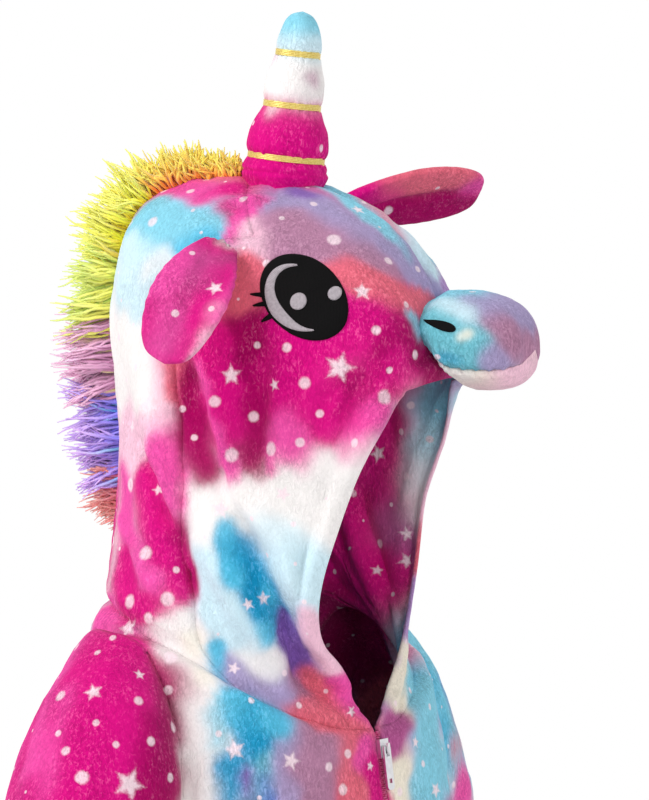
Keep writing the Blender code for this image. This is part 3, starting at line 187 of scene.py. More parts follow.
BODY_CREASES = (
    (0, (-66, -60), (-60, -150), 7, 3.4), (0, (-14, -96), (-40, -120), 6, -2.4),
    (0, (-80, -170), (-40, -205), 8, -3), (0, (-72, -196), (-34, -246), 7, 2.6),
    (0, (-40, -318), (-8, -352), 8, -2.6), (0, (-84, -372), (-48, -398), 8, -2.8),
    (0, (-36, -470), (-4, -505), 7, -3), (0, (80, -176), (42, -214), 8, -3),
    (0, (70, -200), (30, -258), 7, 2.6), (0, (40, -330), (6, -366), 8, -2.6),
    (0, (84, -380), (50, -410), 8, -2.8), (0, (34, -474), (4, -508), 7, -3),
    (0, (110, -120), (150, -170), 8, 2.8), (0, (-108, -126), (-150, -180), 8, 2.8),
    (0, (100, -240), (150, -284), 9, -3), (0, (-100, -250), (-152, -300), 9, -3),
    (0, (150, -330), (176, -440), 8, -2.6), (0, (-120, -440), (-164, -500), 9, 3),
    (0, (118, -446), (160, -506), 9, 3), (1, (20, -640), (90, -612), 8, 2.8),
    (1, (-90, -668), (-10, -650), 8, -2.8), (1, (60, -770), (140, -790), 8, -3),
    (1, (-20, -780), (60, -800), 7, -2.6), (1, (-170, -840), (-70, -856), 8, 3),
    (-1, (-20, -636), (-92, -610), 8, 2.8), (-1, (88, -664), (8, -652), 8, -2.8),
    (-1, (-64, -774), (-144, -788), 8, -3), (-1, (22, -778), (-56, -796), 7, -2.6),
    (-1, (168, -838), (76, -858), 8, 3),
)
LEG_CENTRE = 76.0
NECK_FADE = 16.0
SLEEVE_ROUND = 0.68     # millimetres to a degree round a sleeve
WELD = 0.0137           # points nearer than this are one
SEAM_SINK = 2.3         # how deep the pile sinks at a seam
SEAM_PUFF = 0.9         # how proud it puffs beside one
HEM_DEEP = 13.0         # from a free edge to its stitching
ROLL = 1.9              # how far a rolled edge stands out past its last points
ROLL_TURNS = (40.0, 90.0, 140.0)    # degrees round a rolled edge
HEM_SINK = 1.1          # how deep the hem's stitching draws in
HEM_PUFF = 0.9          # how proud the rolled hem stands
HOOD_HEM = (3.6, 2.2)   # the hood's hem: times as proud, times as deep
TIGHT = 0.62            # where a face leans more than this from the cloth round it, it is eased
EASE, EASE_ROUNDS = 0.6, 30
# on a sleeve, places are degrees round from its outer side (+ to the front) and along
SLEEVE_FOLDS = (
    # from deg, along, to deg, along, width, height
    ((150, 20), (60, 42), 11, -4), ((-150, 34), (-60, 58), 11, 4), ((170, 96), (40, 116), 10, -4.5),
    ((-160, 132), (20, 146), 10, 4), ((150, 176), (-30, 196), 10, -3.5), ((60, 222), (-120, 232), 9, 3.5),
)
SLEEVE_CREASES = (
    ((130, -6), (60, 10), 6, 2.4), ((40, 62), (110, 76), 6, -2.6), ((-40, 84), (-120, 102), 6, -2.6),
    ((90, 134), (10, 158), 6, -2.4), ((-60, 168), (-140, 152), 6, 2.4), ((100, 204), (20, 214), 6, 2.4),
)


# ------------------------------------------------------------------ plain geometry
def unit(v):
    """Vectors of length one, along the last axis."""
    v = np.asarray(v, float)
    return v / np.maximum(np.linalg.norm(v, axis=-1, keepdims=True), 1e-9)


def curve(table, t):
    """Places on a smooth curve through a table's rows; t counts rows."""
    table, t = np.asarray(table, float), np.asarray(t, float)
    last = len(table) - 1
    i = np.clip(t.astype(int), 0, last - 1)
    f = (t - i).reshape(t.shape + (1,) * (table.ndim - 1))
    a, b = table[i], table[i + 1]
    before, after = table[np.maximum(i - 1, 0)], table[np.minimum(i + 2, last)]
    return (a * (2 * f**3 - 3 * f**2 + 1) + (b - before) / 2 * (f**3 - 2 * f**2 + f)
            + b * (3 * f**2 - 2 * f**3) + (after - a) / 2 * (f**3 - f**2))


def turned(forward, left, up, turn=HEAD_TURN):
    """Points given in a turned head's directions."""
    a = np.radians(turn)
    forward, left, up = np.broadcast_arrays(forward, left, up)
    return np.stack([forward * np.sin(a) + left * np.cos(a),
                     -forward * np.cos(a) + left * np.sin(a), up], axis=-1).astype(float)


def head_place(p):
    """Forward and left of points, in the turned head's directions."""
    a = math.radians(HEAD_TURN)
    return (p[..., 0] * math.sin(a) - p[..., 1] * math.cos(a),
            p[..., 0] * math.cos(a) + p[..., 1] * math.sin(a))


def fade(x, low, high):
    """0 below low, 1 above high, and a soft step between."""
    f = np.clip((x - low) / (high - low), 0.0, 1.0)
    return f * f * (3 - 2 * f)


def soft_noise(p, size, seed, layers=3):
    """Smooth uneven values, about -1 to 1, whose hills are about size across."""
    rng = np.random.default_rng(seed)
    total = np.zeros(p.shape[:-1])
    for layer in range(layers):
        for _ in range(5):
            way = unit(rng.normal(size=3)) * 2 * math.pi / size * rng.uniform(0.35, 1.0) * 1.7**layer
            total += np.sin(p @ way + rng.uniform(0, 2 * math.pi)) / 1.6**layer
    return total / 3.4


def fold_push(place, start, end, width, height, wander=0.0):
    """Height of one soft fold at each place, fading out at its ends; the line wanders a little."""
    run = end - start
    length = np.linalg.norm(run, axis=-1, keepdims=True)
    f = np.sum((place - start) * run, axis=-1, keepdims=True) / length**2
    held = np.clip(f, 0.0, 1.0)
    aside = np.stack([-run[..., 1], run[..., 0]], axis=-1) / length
    line = start + run * held + aside * wander * np.sin(f * 5.1 + height)
    away = np.linalg.norm(place - line, axis=-1)
    return height * (1.0 - 0.5 * (2 * held[..., 0] - 1) ** 2) * np.exp(-(away / width) ** 2)


# ------------------------------------------------------------------ the cloth's form
def hood_grid():
    """The hood's points, rows from neck to peak and columns from the right edge to the left."""
    t = np.concatenate([np.linspace(0, CROWN_ROW, ROWS_TO_CROWN * FINE_ROWS + 1),
                        np.linspace(CROWN_ROW, len(HOOD) - 1, ROWS_TO_PEAK * FINE_ROWS + 1)[1:]])
    turn, m_fwd, m_up, c_fwd, c_up, edge, half, lift, seam = curve(HOOD, t).T[..., None]
    end, seam = math.pi - np.arcsin(edge / half), np.radians(seam)
    to_seam = np.linspace(0, 1, BACK_COLUMNS * FINE_COLUMNS + 1)
    to_edge = np.linspace(0, 1, FACE_COLUMNS * FINE_COLUMNS + 1)[1:]
    left = np.hstack([seam * to_seam, seam + (end - seam) * to_edge])
    angle = np.hstack([-left[:, :0:-1], left])
    share = (np.cos(angle) - np.cos(end)) / (1 - np.cos(end))
    return turned(m_fwd + (c_fwd - m_fwd) * share, half * np.sin(angle),
                  m_up + (c_up - m_up) * share + lift * 4 * share * (1 - share), turn)


def armhole(sign, row, toward):
    """Points of the armhole, row 0 at the shoulder. toward is 'front' or 'back'."""
    a = np.pi * np.asarray(row, float) / YOKE_ROWS
    hole = ARMHOLE
    out = hole["out"] + hole["armpit_out"] * (1 - np.cos(a)) / 2 - 5 * np.sin(a)
    side = (-1 if toward == "front" else 1) * hole[toward] * np.sin(a)
    return np.stack([sign * out, hole["top_back"] * (1 + np.cos(a)) / 2 + side,
                     hole["middle"] + hole["half"] * np.cos(a)], axis=-1)


def body_levels():
    """Levels of the solids' rows from the armpits down."""
    crotch = [CROTCH_Z + 10.0, CROTCH_Z, CROTCH_Z - 11.0]
    above = np.linspace(CHEST_Z, CROTCH_Z + 25.0, ROWS_TO_SEAT + 1)
    below = np.linspace(CROTCH_Z - 32.0, HEM_Z, LEG_ROWS)
    return np.array([*above, *crotch, *below])


def body_sections(z, sign, toward, share):
    """Sections of a front or back at levels z, from the centre (share 0) to the side seam."""
    z = np.asarray(z, float)
    row = np.interp(-z, -BODY[:, 0], np.arange(len(BODY)))
    _, centre, half, front, back = curve(BODY, row).T
    inner = ZIP_HALF * fade(z, ZIP_BOTTOM - 5.0, ZIP_BOTTOM + 1.0) if toward == "front" else 0.0 * z
    apart = half + BETWEEN_LEGS * np.clip((CROTCH_Z - z) / 11.0, 0.0, 1.0)
    centre = np.where(z < CROTCH_Z, np.maximum(centre, apart), centre)
    first = np.arccos(np.clip((inner - centre) / half, -1.0, 1.0))[:, None]
    depth = (-front if toward == "front" else back)[:, None]
    angle = first * (1 - share[None, :])
    x = sign * (centre[:, None] + half[:, None] * np.cos(angle))
    return np.stack([x, depth * np.sin(angle), np.broadcast_to(z[:, None], x.shape)], axis=-1)


def body_grid(sign, toward, neck):
    """One front or back: rows from neck to hem, columns from the centre to the side."""
    middle = SIDE_COLUMNS * FINE_COLUMNS
    if toward == "front":
        k = np.arange((SIDE_COLUMNS - SHOULDER_COLUMN) * FINE_COLUMNS + 1)
        top = neck[middle + sign * (middle - k)]
    else:
        top = neck[middle + sign * np.arange(SHOULDER_COLUMN * FINE_COLUMNS + 1)]
    shoulder = np.linspace(top[-1], armhole(sign, 0, toward), FINE_COLUMNS + 1)[1:]
    top = np.vstack([top, shoulder])
    share = np.linspace(0, 1, len(top))
    bottom = body_sections([CHEST_Z], sign, toward, share)[0]
    v = np.linspace(0, 1, YOKE_ROWS * FINE_ROWS + 1)[:, None, None]
    u = share[None, :, None]
    bulge = np.array([0.0, -3.0 if toward == "front" else 9.0, 0.0])
    centre = top[0] * (1 - v) + bottom[0] * v + bulge * np.sin(math.pi * v)
    side = armhole(sign, v[:, 0, 0] * YOKE_ROWS, toward)[:, None, :]
    corners = (1 - u) * (1 - v) * top[0] + u * (1 - v) * top[-1] + (1 - u) * v * bottom[0] + u * v * bottom[-1]
    yoke = (1 - v) * top + v * bottom + (1 - u) * centre + u * side - corners
    coarse = body_levels()
    steps = np.arange(1, (len(coarse) - 1) * FINE_ROWS + 1) / FINE_ROWS
    lower = body_sections(np.interp(steps, np.arange(len(coarse)), coarse), sign, toward, share)
    rows = np.concatenate([yoke, lower])
    smooth = rows.copy()
    first, last = FINE_ROWS + 1, 15 * FINE_ROWS
    for _ in range(10 * FINE_ROWS**2):
        above, below = smooth[first - 1:last - 1, :, :2], smooth[first + 1:last + 1, :, :2]
        smooth[first:last, :, :2] += 0.25 * (above + below - 2 * smooth[first:last, :, :2])
    edge = np.minimum(np.arange(len(top)), np.arange(len(top))[::-1]) / FINE_COLUMNS
    return rows + (smooth - rows) * np.clip(edge, 0, 1)[None, :, None]


def sleeve_grid(side):
    """Rings of one sleeve from the armhole to the cuff."""
    sign = 1 if side == "left" else -1
    arm = ARM[side]
    full = math.radians(90 - arm["spread"])
    count = 2 * YOKE_ROWS * FINE_ROWS
    k = np.arange(count) / FINE_ROWS
    front, back = armhole(sign, k, "front"), armhole(sign, 2 * YOKE_ROWS - k, "back")
    rings = [np.where((k <= YOKE_ROWS)[:, None], front, back)]
    down = np.array([math.cos(full), -math.sin(full)])
    across = np.array([math.sin(full), math.cos(full)])
    hoops = []
    for turn, high, out, up, deep in SLEEVE_CAP:
        lean = np.array([math.sin(turn * full), math.cos(turn * full)])
        middle = np.array([out - arm["tuck"] * turn, up]) + lean * high
        hoops.append((middle, lean, high, deep, 9.0 * (1 - turn) + arm["back"] * turn))
    base = hoops[-1][0]
    for far, radius in SLEEVE_DOWN:
        hoops.append((base + down * far, across, radius, radius, arm["back"] + arm["swing"] * far))
    a = 2 * math.pi * np.arange(count) / count
    for middle, lean, high, deep, back in hoops:
        out, up = (middle[:, None] + lean[:, None] * high * np.cos(a))
        rings.append(np.stack([sign * out, back - deep * np.sin(a), up], axis=-1))
    fine = np.linspace(0, len(rings) - 1, (len(rings) - 1) * FINE_RINGS + 1)
    return curve(np.array(rings), fine)


def hood_heights(p):
    """The height of the hood's folds at points of the cloth."""
    forward, left = head_place(p)
    back = np.clip((HOOD[0][1] + p[:, 1]) / (HOOD[0][1] - HOOD[0][3]), 0.0, 1.0)
    neck = HOOD[0][2] + (HOOD[0][4] - HOOD[0][2]) * back + HOOD[0][7] * 4 * back * (1 - back)
    share = np.clip((np.abs(left) - 8.0) / 25.0, 0, 1) * np.clip((p[:, 2] - neck) / NECK_FADE, 0, 1)
    place = np.stack([forward, p[:, 2]], axis=-1)
    total = np.zeros(len(p))
    for table, wander in ((HOOD_FOLDS, 0.15), (HOOD_CREASES, 0.4)):
        for side, start, end, width, height in table:
            push = fold_push(place, np.array(start), np.array(end), width, height, wander * width)
            total += (side * left > 0) * push
    return share * total


def body_heights(p):
    """The height of the folds of the fronts and backs at points of the cloth."""
    leg = np.where(p[:, 2] > -545.0, 0, np.sign(p[:, 0]))
    x = p[:, 0] - leg * LEG_CENTRE
    radius = np.hypot(x, p[:, 1])
    place = np.stack([np.arctan2(x, -p[:, 1]) * radius, p[:, 2]], axis=-1)
    total = np.zeros(len(p))
    for table, wander in ((BODY_FOLDS, 0.2), (BODY_CREASES, 0.45)):
        for body, start, end, width, height in table:
            on = leg == body
            ends = [np.stack([math.radians(at[0]) * radius[on], np.full(on.sum(), at[1])], axis=-1)
                    for at in (start, end)]
            total[on] += fold_push(place[on], *ends, width, height, wander * width)
    return total * fade(-p[:, 2], 38.0, 62.0)


def sleeve_heights(side, p):
    """The height of a sleeve's folds at points of the cloth."""
    sign = 1 if side == "left" else -1
    arm = ARM[side]
    full = math.radians(90 - arm["spread"])
    _, high, out, up, _ = SLEEVE_CAP[-1]
    x = sign * p[:, 0] - (out - arm["tuck"] + math.sin(full) * high)
    y = p[:, 2] - (up + math.cos(full) * high)
    far = x * math.cos(full) - y * math.sin(full)
    outward = x * math.sin(full) + y * math.cos(full)
    angle = np.degrees(np.arctan2(-(p[:, 1] - arm["back"] - arm["swing"] * far), outward))
    total = np.zeros(len(p))
    for table, wander in ((SLEEVE_FOLDS, 0.2), (SLEEVE_CREASES, 0.4)):
        for start, end, width, height in table:
            for turn_over in (-360.0, 0.0, 360.0):
                place = np.stack([(angle + turn_over) * SLEEVE_ROUND, far], axis=-1)
                ends = [np.array([at[0] * SLEEVE_ROUND, at[1]]) for at in (start, end)]
                total += fold_push(place, *ends, width, height, wander * width)
    return total * fade(far, -24.0, -10.0) * fade(-far, -246.0, -236.0)


def edges_of(quads):
    """The first and last point of every side of some faces."""
    a, b = quads.reshape(-1), np.roll(quads, -1, axis=1).reshape(-1)
    return a[a != b], b[a != b]


def tree_of(points):
    """A tree that finds the nearest of some points."""
    tree = KDTree(len(points))
    for k, p in enumerate(points):
        tree.insert(p, k)
    tree.balance()
    return tree


def corner_angles(points, quads):
    """The angle at each corner of each four-sided face."""
    corner = points[quads]
    onward = unit(np.roll(corner, -1, axis=1) - corner)
    back = unit(np.roll(corner, 1, axis=1) - corner)
    return np.arccos(np.clip(np.sum(onward * back, axis=-1), -1, 1))


def normals_of(points, quads):
    """The outward way at each point, each face counting by the angle of its corner."""
    corner = points[quads]
    n = unit(np.cross(corner[:, 2] - corner[:, 0], corner[:, 3] - corner[:, 1]))
    angle = corner_angles(points, quads)
    total = np.zeros_like(points)
    for k in range(4):
        np.add.at(total, quads[:, k], n * angle[:, k:k + 1])
    return unit(total)


class Cloth:
    """Hood, body and sleeves as one welded surface, each face labelled with its cut piece."""

    def __init__(self):
        """Joins the grids, pushes the folds out and shapes the edges."""
        self.names = []
        points, quads, labels, heights = [], [], [], []

        def add(grid, name_of, height, hold, flip=False, ring=False):
            """Adds the points and faces of one grid; hold is its share of the folds' height."""
            rows, columns = grid.shape[:2]
            start = sum(len(p) for p in points)
            ids = start + np.arange(rows * columns).reshape(rows, columns)
            if ring:
                ids = np.hstack([ids, ids[:, :1]])
            quad = np.stack([ids[:-1, :-1], ids[:-1, 1:], ids[1:, 1:], ids[1:, :-1]], axis=-1)
            quad = quad.reshape(-1, 4)
            points.append(grid.reshape(-1, 3))
            quads.append(quad if flip else quad[:, ::-1])
            r, c = np.divmod(np.arange(len(quad)), ids.shape[1] - 1)
            labels.append(name_of(r, c))
            heights.append(height(points[-1]) * hold.reshape(-1))

        def label(name):
            """A piece's number, new where the name is."""
            if name not in self.names:
                self.names.append(name)
            return self.names.index(name)

        def hood_label(r, c):
            """The hood's piece at each row and column."""
            half = SIDE_COLUMNS * FINE_COLUMNS
            right = c < half
            from_back = np.where(right, half - 1 - c, c - half)
            back = (r < ROWS_TO_CROWN * FINE_ROWS) & (from_back < BACK_COLUMNS * FINE_COLUMNS)
            return np.where(back, np.where(right, label("hood_back_right"), label("hood_back_left")),
                            np.where(right, label("hood_face_right"), label("hood_face_left")))

        hood = hood_grid()
        add(hood, hood_label, hood_heights, np.ones(hood.shape[:2]))
        for side, sign in (("left", 1), ("right", -1)):
            for toward in ("front", "back"):
                grid = body_grid(sign, toward, hood[0])
                rows, columns = grid.shape[:2]
                row = np.arange(rows)[:, None] / FINE_ROWS
                near_arm = np.clip(np.arange(columns)[::-1] / FINE_COLUMNS, 0, 1)[None, :]
                hold = np.maximum(near_arm, fade(row, YOKE_ROWS, YOKE_ROWS + 1.0))
                add(grid, lambda r, c, n=f"{toward}_{side}": np.full(len(r), label(n)), body_heights, hold,
                    flip=(sign < 0) == (toward == "front"))
            grid = sleeve_grid(side)
            hold = np.broadcast_to(fade(np.arange(len(grid)), 0.0, FINE_RINGS)[:, None], grid.shape[:2])
            add(grid, lambda r, c, n="sleeve_" + side: np.full(len(r), label(n)),
                lambda p, s=side: sleeve_heights(s, p), hold, flip=side == "left", ring=True)

        points, heights = np.vstack(points), np.concatenate(heights)
        _, first, same = np.unique(np.round(points / WELD).astype(int), axis=0, return_index=True,
                                   return_inverse=True)
        same = same.reshape(-1)
        self.points = points[first]
        self.quads = same[np.vstack(quads)]
        self.labels = np.concatenate(labels)
        least = np.full(len(first), np.inf)
        at = np.argsort(np.abs(heights))[::-1]
        least[same[at]] = heights[at]
        self.normals = normals_of(self.points, self.quads)
        along_zip = (np.abs(self.points[:, 0]) < ZIP_HALF + 0.3) & (self.points[:, 1] < 0)
        self.normals[along_zip, 0] = 0.0
        self.normals = unit(self.normals)
        self.points = self.points + self.normals * least[:, None]
        self.find_edges()
        self.shape_edges()
        self.ease_crumples()
        self.find_outward()
        self.find_room()

    def find_edges(self):
        """Seams, where two pieces meet, and free edges, with how far each point is from them."""
        a, b = self.quads, np.roll(self.quads, -1, axis=1)
        keep = a != b
        face = np.broadcast_to(np.arange(len(a))[:, None], a.shape)[keep]
        ends = np.stack([a[keep], b[keep]], axis=-1)
        key = np.sort(ends, axis=-1)
        _, index, inverse, count = np.unique(key, axis=0, return_index=True, return_inverse=True,
                                             return_counts=True)
        inverse = inverse.reshape(-1)
        low = np.full(len(index), 10**6)
        high = np.full(len(index), -1)
        np.minimum.at(low, inverse, self.labels[face])
        np.maximum.at(high, inverse, self.labels[face])
        edge = key[index]
        self.seam_edges = edge[(count == 2) & (low != high)]
        self.free_edges = edge[count == 1]
        self.from_seam = self.away(np.unique(self.seam_edges), 26.0)
        self.from_free = self.away(np.unique(self.free_edges), 30.0)

    def away(self, ids, most):
        """The distance of each point from the nearest of some points, up to most."""
        tree = tree_of(self.points[ids])
        low, high = self.points[ids].min(0) - most, self.points[ids].max(0) + most
        distance = np.full(len(self.points), most)
        for i in np.flatnonzero(((self.points > low) & (self.points < high)).all(axis=1)):
            distance[i] = min(most, tree.find(self.points[i])[2])
        return distance

    def shape_edges(self):
        """Sinks the seams between puffed pile, draws the hems in at their stitching,
        and gives the whole cloth the small uneven swells of soft fleece."""
        pucker = soft_noise(self.points, 13.0, 3)
        sunk = -SEAM_SINK * (1 + 0.35 * pucker) * np.exp(-(self.from_seam / 3.6) ** 2)
        puffed = SEAM_PUFF * (1 + 0.6 * pucker) * np.exp(-((self.from_seam - 9.0) / 5.0) ** 2)
        stitched = -HEM_SINK * (1 + 0.3 * pucker) * np.exp(-((self.from_free - HEM_DEEP) / 1.8) ** 2)
        rolled = HEM_PUFF * np.exp(-((self.from_free - HEM_DEEP / 2) / 4.9) ** 2)
        on_hood = self.points[:, 2] > -28.0
        rolled[on_hood] *= HOOD_HEM[0]
        stitched[on_hood] *= HOOD_HEM[1]
        on_zip = (np.abs(self.points[:, 0]) < 20.0) & (self.points[:, 1] < 0) & (self.points[:, 2] < -20.0)
        stitched[on_zip] = 0.0
        rolled[on_zip] *= 0.3
        swell = 0.9 * soft_noise(self.points, 46.0, 5) + 0.34 * soft_noise(self.points, 17.0, 6)
        swell *= np.clip(self.from_seam / 8.0, 0, 1) * np.clip(self.from_free / 10.0, 0.2, 1)
        push = sunk + puffed + stitched + rolled + swell
        under_zip = (np.abs(self.points[:, 0]) < 9.0) & (self.points[:, 1] < 0) & (self.points[:, 2] < 0)
        push[under_zip] = np.minimum(push[under_zip], 0.2)
        self.points = self.points + self.normals * push[:, None]
        self.normals = normals_of(self.points, self.quads)

    def ease_crumples(self):
        """Smooths the cloth where its folds would be too tight for its thickness."""
        a, b = edges_of(self.quads)
        corner = self.points[self.quads]
        across = unit(np.cross(corner[:, 2] - corner[:, 0], corner[:, 3] - corner[:, 1]))
        lean = np.sum(self.normals[self.quads] * across[:, None], axis=-1).min(axis=1)
        tight = np.unique(self.quads[lean < TIGHT])
        if not len(tight):
            return
        hold = np.clip(1.6 - self.away(tight, 9.0) / 5.6, 0.0, 1.0)
        hold = hold * np.clip((self.from_free - 3.0) / 6.0, 0.0, 1.0)
        near = np.bincount(a, minlength=len(self.points)) + np.bincount(b, minlength=len(self.points))
        for _ in range(EASE_ROUNDS):
            total = np.zeros_like(self.points)
            np.add.at(total, a, self.points[b])
            np.add.at(total, b, self.points[a])
            mean = total / np.maximum(near, 1)[:, None]
            self.points = self.points + EASE * hold[:, None] * (mean - self.points)
        self.normals = normals_of(self.points, self.quads)

    def cut(self, name):
        """Points, four-sided faces and the outer point of each point, for one piece's closed
        wall. Free edges are rolled, and seam edges are square where two pieces meet."""
        label = self.names.index(name)
        quads = self.quads[self.labels == label]
        used = np.unique(quads)
        local = np.full(len(self.points), -1)
        local[used] = np.arange(len(used))
        quads = local[quads]
        count = len(used)
        outer, n = self.points[used], self.normals[used]
        a, b = edges_of(quads)
        rim = ~np.isin(a * count + b, b * count + a)
        a, b = a[rim], b[rim]
        free = self.is_free(used[a], used[b])
        points, source = [outer, outer - n * FLEECE], [np.arange(count)] * 2
        faces = [quads, quads[:, ::-1] + count]
        faces.append(np.stack([b, a, a + count, b + count], axis=-1)[~free])
        edge = np.unique(np.concatenate([a[free], b[free]]))
        if len(edge):
            place = np.full(count, -1)
            place[edge] = np.arange(len(edge))
            outward = self.outward[used[edge]]
            zip_edge = (np.abs(outer[edge][:, 0]) < 12.0) & (outer[edge][:, 1] < 0) & (outer[edge][:, 2] < 0)
            proud = np.where(zip_edge, 0.25, ROLL)[:, None]
            loops = [edge]
            for turn in ROLL_TURNS:
                c, s = math.cos(math.radians(turn)), math.sin(math.radians(turn))
                loops.append(sum(len(p) for p in points) + np.arange(len(edge)))
                points.append(outer[edge] + n[edge] * FLEECE * (c - 1) / 2 + outward * proud * s)
                source.append(edge)
            loops.append(edge + count)
            p, q = place[a[free]], place[b[free]]
            for one, two in zip(loops, loops[1:]):
                faces.append(np.stack([one[q], one[p], two[p], two[q]], axis=-1))
        self.used = used
        return np.vstack(points), np.vstack(faces), used[np.concatenate(source)]

    def is_free(self, a, b):
        """Whether the sides from points a to points b are free edges of the cloth."""
        low, high = self.free_edges.T
        return np.isin(np.minimum(a, b) * len(self.points) + np.maximum(a, b), low * len(self.points) + high)

    def find_room(self):
        """How far each face is from the nearest seam or free edge."""
        room = np.minimum(self.from_seam, self.from_free)
        self.edge_room = room[self.quads].min(axis=1)

    def find_outward(self):
        """The way off the cloth at its free edges."""
        self.outward = np.zeros_like(self.points)
        a, b = edges_of(self.quads)
        free = self.is_free(a, b)
        a, b = a[free], b[free]
        way = np.cross(unit(self.points[b] - self.points[a]), self.normals[a])
        np.add.at(self.outward, a, way)
        np.add.at(self.outward, b, way)
        self.outward = unit(self.outward)


# ------------------------------------------------------------------ materials
def linear(colour):
    """Linear red, green and blue from an sRGB hex value."""
    shares = [int(colour[i:i + 2], 16) / 255 for i in (1, 3, 5)]
    return [c / 12.92 if c <= 0.04045 else ((c + 0.055) / 1.055) ** 2.4 for c in shares]


def paint(colour, share=1.0):
    """A socket's colour from an sRGB hex value, made darker or lighter by a share."""
    return (*[min(c * share, 1.0) for c in linear(colour)], 1.0)


def add_node(tree, kind, inputs=None, **settings):
    """Adds a node. inputs are values, or sockets of other nodes to link from."""
    made = tree.nodes.new("ShaderNode" + kind)
    for name, value in settings.items():
        setattr(made, name, value)
    for name, value in (inputs or {}).items():
        if isinstance(value, bpy.types.NodeSocket):
            tree.links.new(value, made.inputs[name])
        else:
            made.inputs[name].default_value = value
    return made


def math_node(tree, operation, a, b=0.0, c=0.0):
    """The result of one operation on values or sockets."""
    return add_node(tree, "Math", {0: a, 1: b, 2: c}, operation=operation).outputs[0]


def spread(tree, value, low, high, to_low, to_high, **settings):
    """A value's range from low to high, spread over another range."""
    inputs = {"Value": value, "From Min": low, "From Max": high, "To Min": to_low, "To Max": to_high}
    return add_node(tree, "MapRange", inputs, **settings).outputs[0]


def blend(tree, share, one, other, **settings):
    """A colour between two others."""
    return add_node(tree, "Mix", {0: share, 6: one, 7: other}, data_type="RGBA", **settings).outputs[2]


def parts(tree, vector):
    """The three sockets X, Y and Z of a vector."""
    return add_node(tree, "SeparateXYZ", {"Vector": vector}).outputs


def object_place(tree):
    """Places in metres on the piece."""
    return add_node(tree, "TexCoord").outputs["Object"]


def noise(tree, place, size, detail, **inputs):
    """Uneven values whose hills are about size metres across."""
    inputs = {"Vector": place, "Scale": 1 / size, "Detail": detail, **inputs}
    return add_node(tree, "TexNoise", inputs).outputs["Fac"]


def new_material(name, **sockets):
    """A material of one principled shader with these values on its own sockets."""
    made = bpy.data.materials.new(name)
    made.use_nodes = True
    shader = made.node_tree.nodes["Principled BSDF"]
    for socket, value in sockets.items():
        shader.inputs[socket.replace("_", " ")].default_value = value
    return made, made.node_tree, shader


def finish_material(tree, shader, colour, height=None, strength=0.0, deep=0.0):
    """Links the colour, and a relief that is deep metres high, to the shader."""
    tree.links.new(colour, shader.inputs["Base Color"])
    if height is not None:
        bump = add_node(tree, "Bump", {"Height": height, "Strength": strength, "Distance": deep})
        tree.links.new(bump.outputs["Normal"], shader.inputs["Normal"])


STAR_WAIST = 0.52       # of a star's inner corners, as a share of its points'


def printed_marks(tree, place):
    """How strongly the print shows a star or a dot, from its coordinates on the cloth."""
    star = add_node(tree, "Attribute", attribute_name="star_map")
    x, y, kind = parts(tree, star.outputs["Vector"])

    def do(operation, *values):
        """One operation in this material."""
        return math_node(tree, operation, *values)

    # a five-pointed star: the angle is folded to one half of a point, whose edge is a line
    radius = do("SQRT", do("ADD", do("MULTIPLY", x, x), do("MULTIPLY", y, y)))
    step = 2 * math.pi / 5
    angle = do("ADD", do("ARCTAN2", y, x), 10 * math.pi + step / 2)
    folded = do("ABSOLUTE", do("SUBTRACT", do("MODULO", angle, step), step / 2))
    px = do("MULTIPLY", radius, do("COSINE", folded))
    py = do("MULTIPLY", radius, do("SINE", folded))
    run = (STAR_WAIST * math.cos(step / 2) - 1.0, STAR_WAIST * math.sin(step / 2))
    length = math.hypot(*run)
    across = do("MULTIPLY", do("SUBTRACT", px, 1.0), run[1] / length)
    outside = do("ADD", across, do("MULTIPLY", py, -run[0] / length))
    ring = do("SUBTRACT", radius, 1.0)
    is_dot = do("GREATER_THAN", kind, 1.5)
    shape = add_node(tree, "Mix", {0: is_dot, 2: outside, 3: ring}, data_type="FLOAT").outputs[0]
    # the nap blurs the printed edges, as tufts of one colour lean over the other
    edge = do("ADD", shape, do("MULTIPLY_ADD", noise(tree, place, 0.0014, 2.0), 0.36, -0.18))
    soft = do("MULTIPLY_ADD", is_dot, 0.26, 0.18)
    full = do("MULTIPLY_ADD", is_dot, -0.14, 0.88)
    mark = spread(tree, edge, -0.24, soft, full, 0.0, interpolation_type="SMOOTHSTEP")
    return do("MULTIPLY", mark, do("GREATER_THAN", kind, 0.5))


